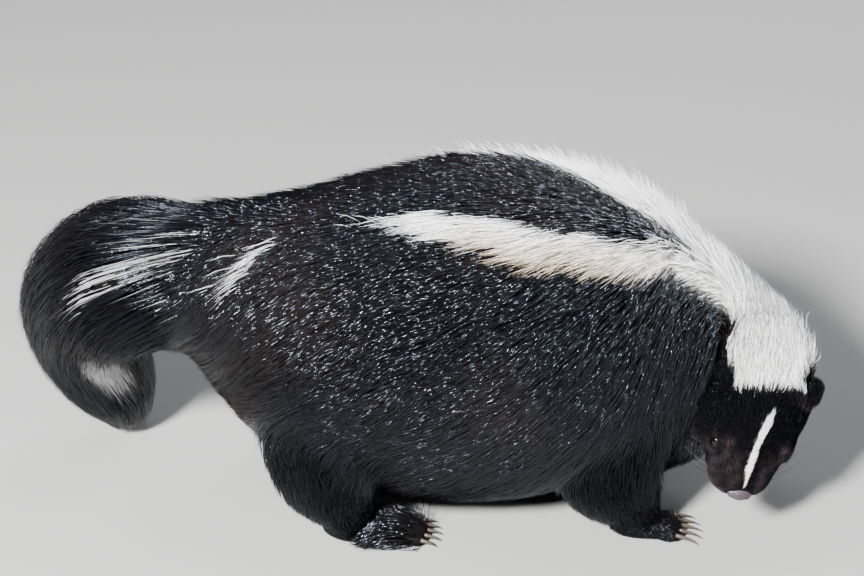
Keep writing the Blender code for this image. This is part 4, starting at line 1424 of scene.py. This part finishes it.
# %% [markdown]
# Five finishes of hair differ in their three colours, root, tip and cast, and in their gloss. Long hair
# on tail and legs is less glossy than the trunk's, and the face's short hair is almost matt. The bluish
# tint of the gloss comes from the sky that black hair mirrors. Waves roughen the blades, so that light
# breaks up along them.

# %% Materials of the coat
SKY_TINT = (0.72, 0.82, 1.0, 1)
WAVE_SCALE = 420


def hair_material(name, root, tip, cast, gloss, waviness=0.6):
    material, tree, shader = new_material(name, gloss=gloss)
    tone = group_node(tree, hair_tone)
    for label, value in (("Root", root), ("Tip", tip), ("Cast", cast)):
        tone.inputs[label].default_value = (*value, 1)
    for label, source in (("Along", "along"), ("Vary", "vary"), ("Amount", "brown")):
        tree.links.new(attribute(tree, source), tone.inputs[label])
    tree.links.new(tone.outputs["Colour"], shader.inputs["Base Color"])
    tree.links.new(tone.outputs["Roughness"], shader.inputs["Roughness"])
    shader.inputs["Specular Tint"].default_value = SKY_TINT
    bumps(tree, shader, noise(tree, WAVE_SCALE), 0.5, waviness * MM)
    return material


# Each root colour is darker than its tip colour, partly as painted shade where the hairs cover each other.
BLACK_ROOT, BLACK_TIP = (0.0012, 0.001, 0.0014), (0.0026, 0.0023, 0.0036)
black_hair = hair_material("black_hair", BLACK_ROOT, BLACK_TIP, (0.014, 0.0085, 0.0055), 0.58, 0.7)
long_hair = hair_material("long_hair", BLACK_ROOT, BLACK_TIP, (0.010, 0.007, 0.005), 0.3, 0.8)
white_hair = hair_material("white_hair", (0.84, 0.82, 0.79), (0.95, 0.95, 0.95), (0.44, 0.28, 0.12), 0.5)
grey_hair = hair_material("grey_hair", (0.46, 0.42, 0.38), (0.88, 0.88, 0.90), (0.055, 0.052, 0.058), 0.4)
short_hair = hair_material("short_hair", (0.001, 0.0009, 0.001), (0.002, 0.0018, 0.0023),
                           (0.055, 0.040, 0.042), 0.10)
print("finishes of hair", [material.name for material in bpy.data.materials if "hair" in material.name])

# %% [markdown]
# The bare places. The hide under the coat takes the colour of the markings, so that no dark skin shines
# through white hair. The nose is moist leather, glossier on top of its pebbles, and its colour is darker in
# the hollows between them, which is painted shade. The eye has a black pupil, a brown iris and a dark rim,
# and it is almost a mirror. The lids are dull, and the claws are brown horn.

# %% Materials of the bare places
hide, tree, shader = new_material("hide", 0.75, 0.06)
paint(tree, shader, attribute(tree, "white"), (0.002, 0.0015, 0.0015), (0.66, 0.62, 0.55))
bumps(tree, shader, grain(tree, 900), 0.4, 0.0004)

nose_leather, tree, shader = new_material("nose_leather")
relief = grain(tree, 1300)
# The pad is lighter on the tops of its pebbles and darker in the hollows between them: painted shade.
paint(tree, shader, relief, (0.028, 0.018, 0.024), (0.082, 0.054, 0.070))
tree.links.new(remap(tree, relief, 0, 1, 0.5, 0.3), shader.inputs["Roughness"])
bumps(tree, shader, relief, 0.5, 0.0003)

eye_gloss, tree, shader = new_material("eye_gloss", 0.04, 0.35)
iris = remap(tree, attribute(tree, "from_pupil"), 0.42, 0.50, 0, 1)
rim = remap(tree, attribute(tree, "from_pupil"), 0.85, 1.0, 0, 1)
colour = mix_colour(tree, iris, (0.0005, 0.0005, 0.0005, 1), (0.003, 0.0015, 0.001, 1))
colour = mix_colour(tree, rim, colour, (0.001, 0.001, 0.001, 1))
tree.links.new(colour, shader.inputs["Base Color"])

lid_skin, tree, shader = new_material("lid_skin", 0.5, 0.08)
paint(tree, shader, noise(tree, 700), (0.0015, 0.001, 0.001), (0.006, 0.004, 0.0045))

claw_horn, tree, shader = new_material("claw_horn", 0.35)
paint(tree, shader, noise(tree, 260), (0.012, 0.009, 0.007), (0.07, 0.052, 0.038))
print("bare places", [material.name for material in (hide, nose_leather, eye_gloss, lid_skin, claw_horn)])

# %% [markdown]
# Each piece gets its material and the body it rides on. The skin takes the place of all flesh solids, and
# eyes and nose take the place of their own. Coat, lids, claws and whiskers are extra.

# %% Dress the pieces
mark_points(skin, "white", white)
FLESH = [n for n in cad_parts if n.split("_")[0] in ("torso", "neck", "head", "ear", "leg", "tail")]


def dress(obj, material):
    obj.data.materials.clear()
    obj.data.materials.append(material)
    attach(obj, "root")


dress(skin, hide)
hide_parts(*FLESH)
for name, obj in coats.items():
    finish, slot = black_hair, "fur_black"
    if name in ("coat_stripes", "coat_wisps", "coat_cap_and_blaze"):
        finish, slot = white_hair, "fur_white"
    elif name == "coat_tail_white":
        finish, slot = grey_hair, "fur_white"
    elif name in ("coat_head", "coat_face", "coat_ears"):
        finish = short_hair
    elif "tail" in name or "legs" in name:
        finish = long_hair
    dress(obj, finish)
for word, _ in SIDES:
    dress(eyes[word], eye_gloss)
    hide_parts(f"eye_{word}")
    dress(lids[word], lid_skin)
dress(nose, nose_leather)
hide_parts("nose")
dress(claws, claw_horn)
dress(whiskers, black_hair)
for label, value in (("along", 0.4), ("vary", 0.3), ("brown", 0.0)):
    mark_points(whiskers, label, np.full(len(whiskers.data.vertices), value))
pieces = [skin, nose, claws, whiskers, *coats.values(), *eyes.values(), *lids.values()]
print("dressed", len(pieces), "pieces")

# %% [markdown]
# The stage: a plain pale floor, a strong and fairly small key light in front on the left, as hard as a
# low sun behind thin cloud, a weak cool fill on the right, a soft top light and a weak light from behind.
# The camera looks down at the animal's right side, as in the photograph.

# %% Floor, lights and camera
shape = bmesh.new()
bmesh.ops.create_grid(shape, x_segments=1, y_segments=1, size=6)
floor = put("floor", shape)
pale, tree, shader = new_material("pale_floor")
shader.inputs["Base Color"].default_value = (0.24, 0.235, 0.225, 1)
shader.inputs["Roughness"].default_value = 0.9
floor.data.materials.append(pale)


AIM = (0, 0, 0.1)


def area_light(name, place, size, power, tint):
    light = bpy.data.lights.new(name, "AREA")
    light.size = size
    light.energy = power
    light.color = tint
    obj = bpy.data.objects.new(name, light)
    obj.location = place
    obj.rotation_mode = "QUATERNION"
    obj.rotation_quaternion = (Vector(AIM) - Vector(place)).to_track_quat("-Z", "Y")
    bpy.context.scene.collection.objects.link(obj)


area_light("key", (-0.75, -1.40, 1.25), 0.28, 340, (0.97, 0.98, 1.0))
area_light("fill", (1.5, -1.3, 1.2), 1.2, 7, (0.85, 0.92, 1.0))
area_light("top", (-0.1, 0.6, 1.9), 0.9, 14, (0.90, 0.94, 1.0))
area_light("back", (0.9, 1.5, 1.1), 1.0, 32, (0.92, 0.95, 1.0))
world = bpy.data.worlds.new("studio")
world.use_nodes = True
world.node_tree.nodes["Background"].inputs["Color"].default_value = (0.9, 0.95, 1.0, 1)
world.node_tree.nodes["Background"].inputs["Strength"].default_value = 0.1
bpy.context.scene.world = world

CAMERA_RISE = math.radians(28)
CAMERA_AWAY = 1.25
target = Vector((0, 0, 0.137)) + SHIFT * MM
away = Vector((0, -math.cos(CAMERA_RISE), math.sin(CAMERA_RISE)))
camera = bpy.data.objects.new("camera", bpy.data.cameras.new("camera"))
camera.data.lens = 90.5
camera.data.clip_start = 0.01
camera.location = target + away * CAMERA_AWAY
camera.rotation_mode = "QUATERNION"
camera.rotation_quaternion = (-away).to_track_quat("-Z", "Y")
bpy.context.scene.collection.objects.link(camera)
bpy.context.scene.camera = camera
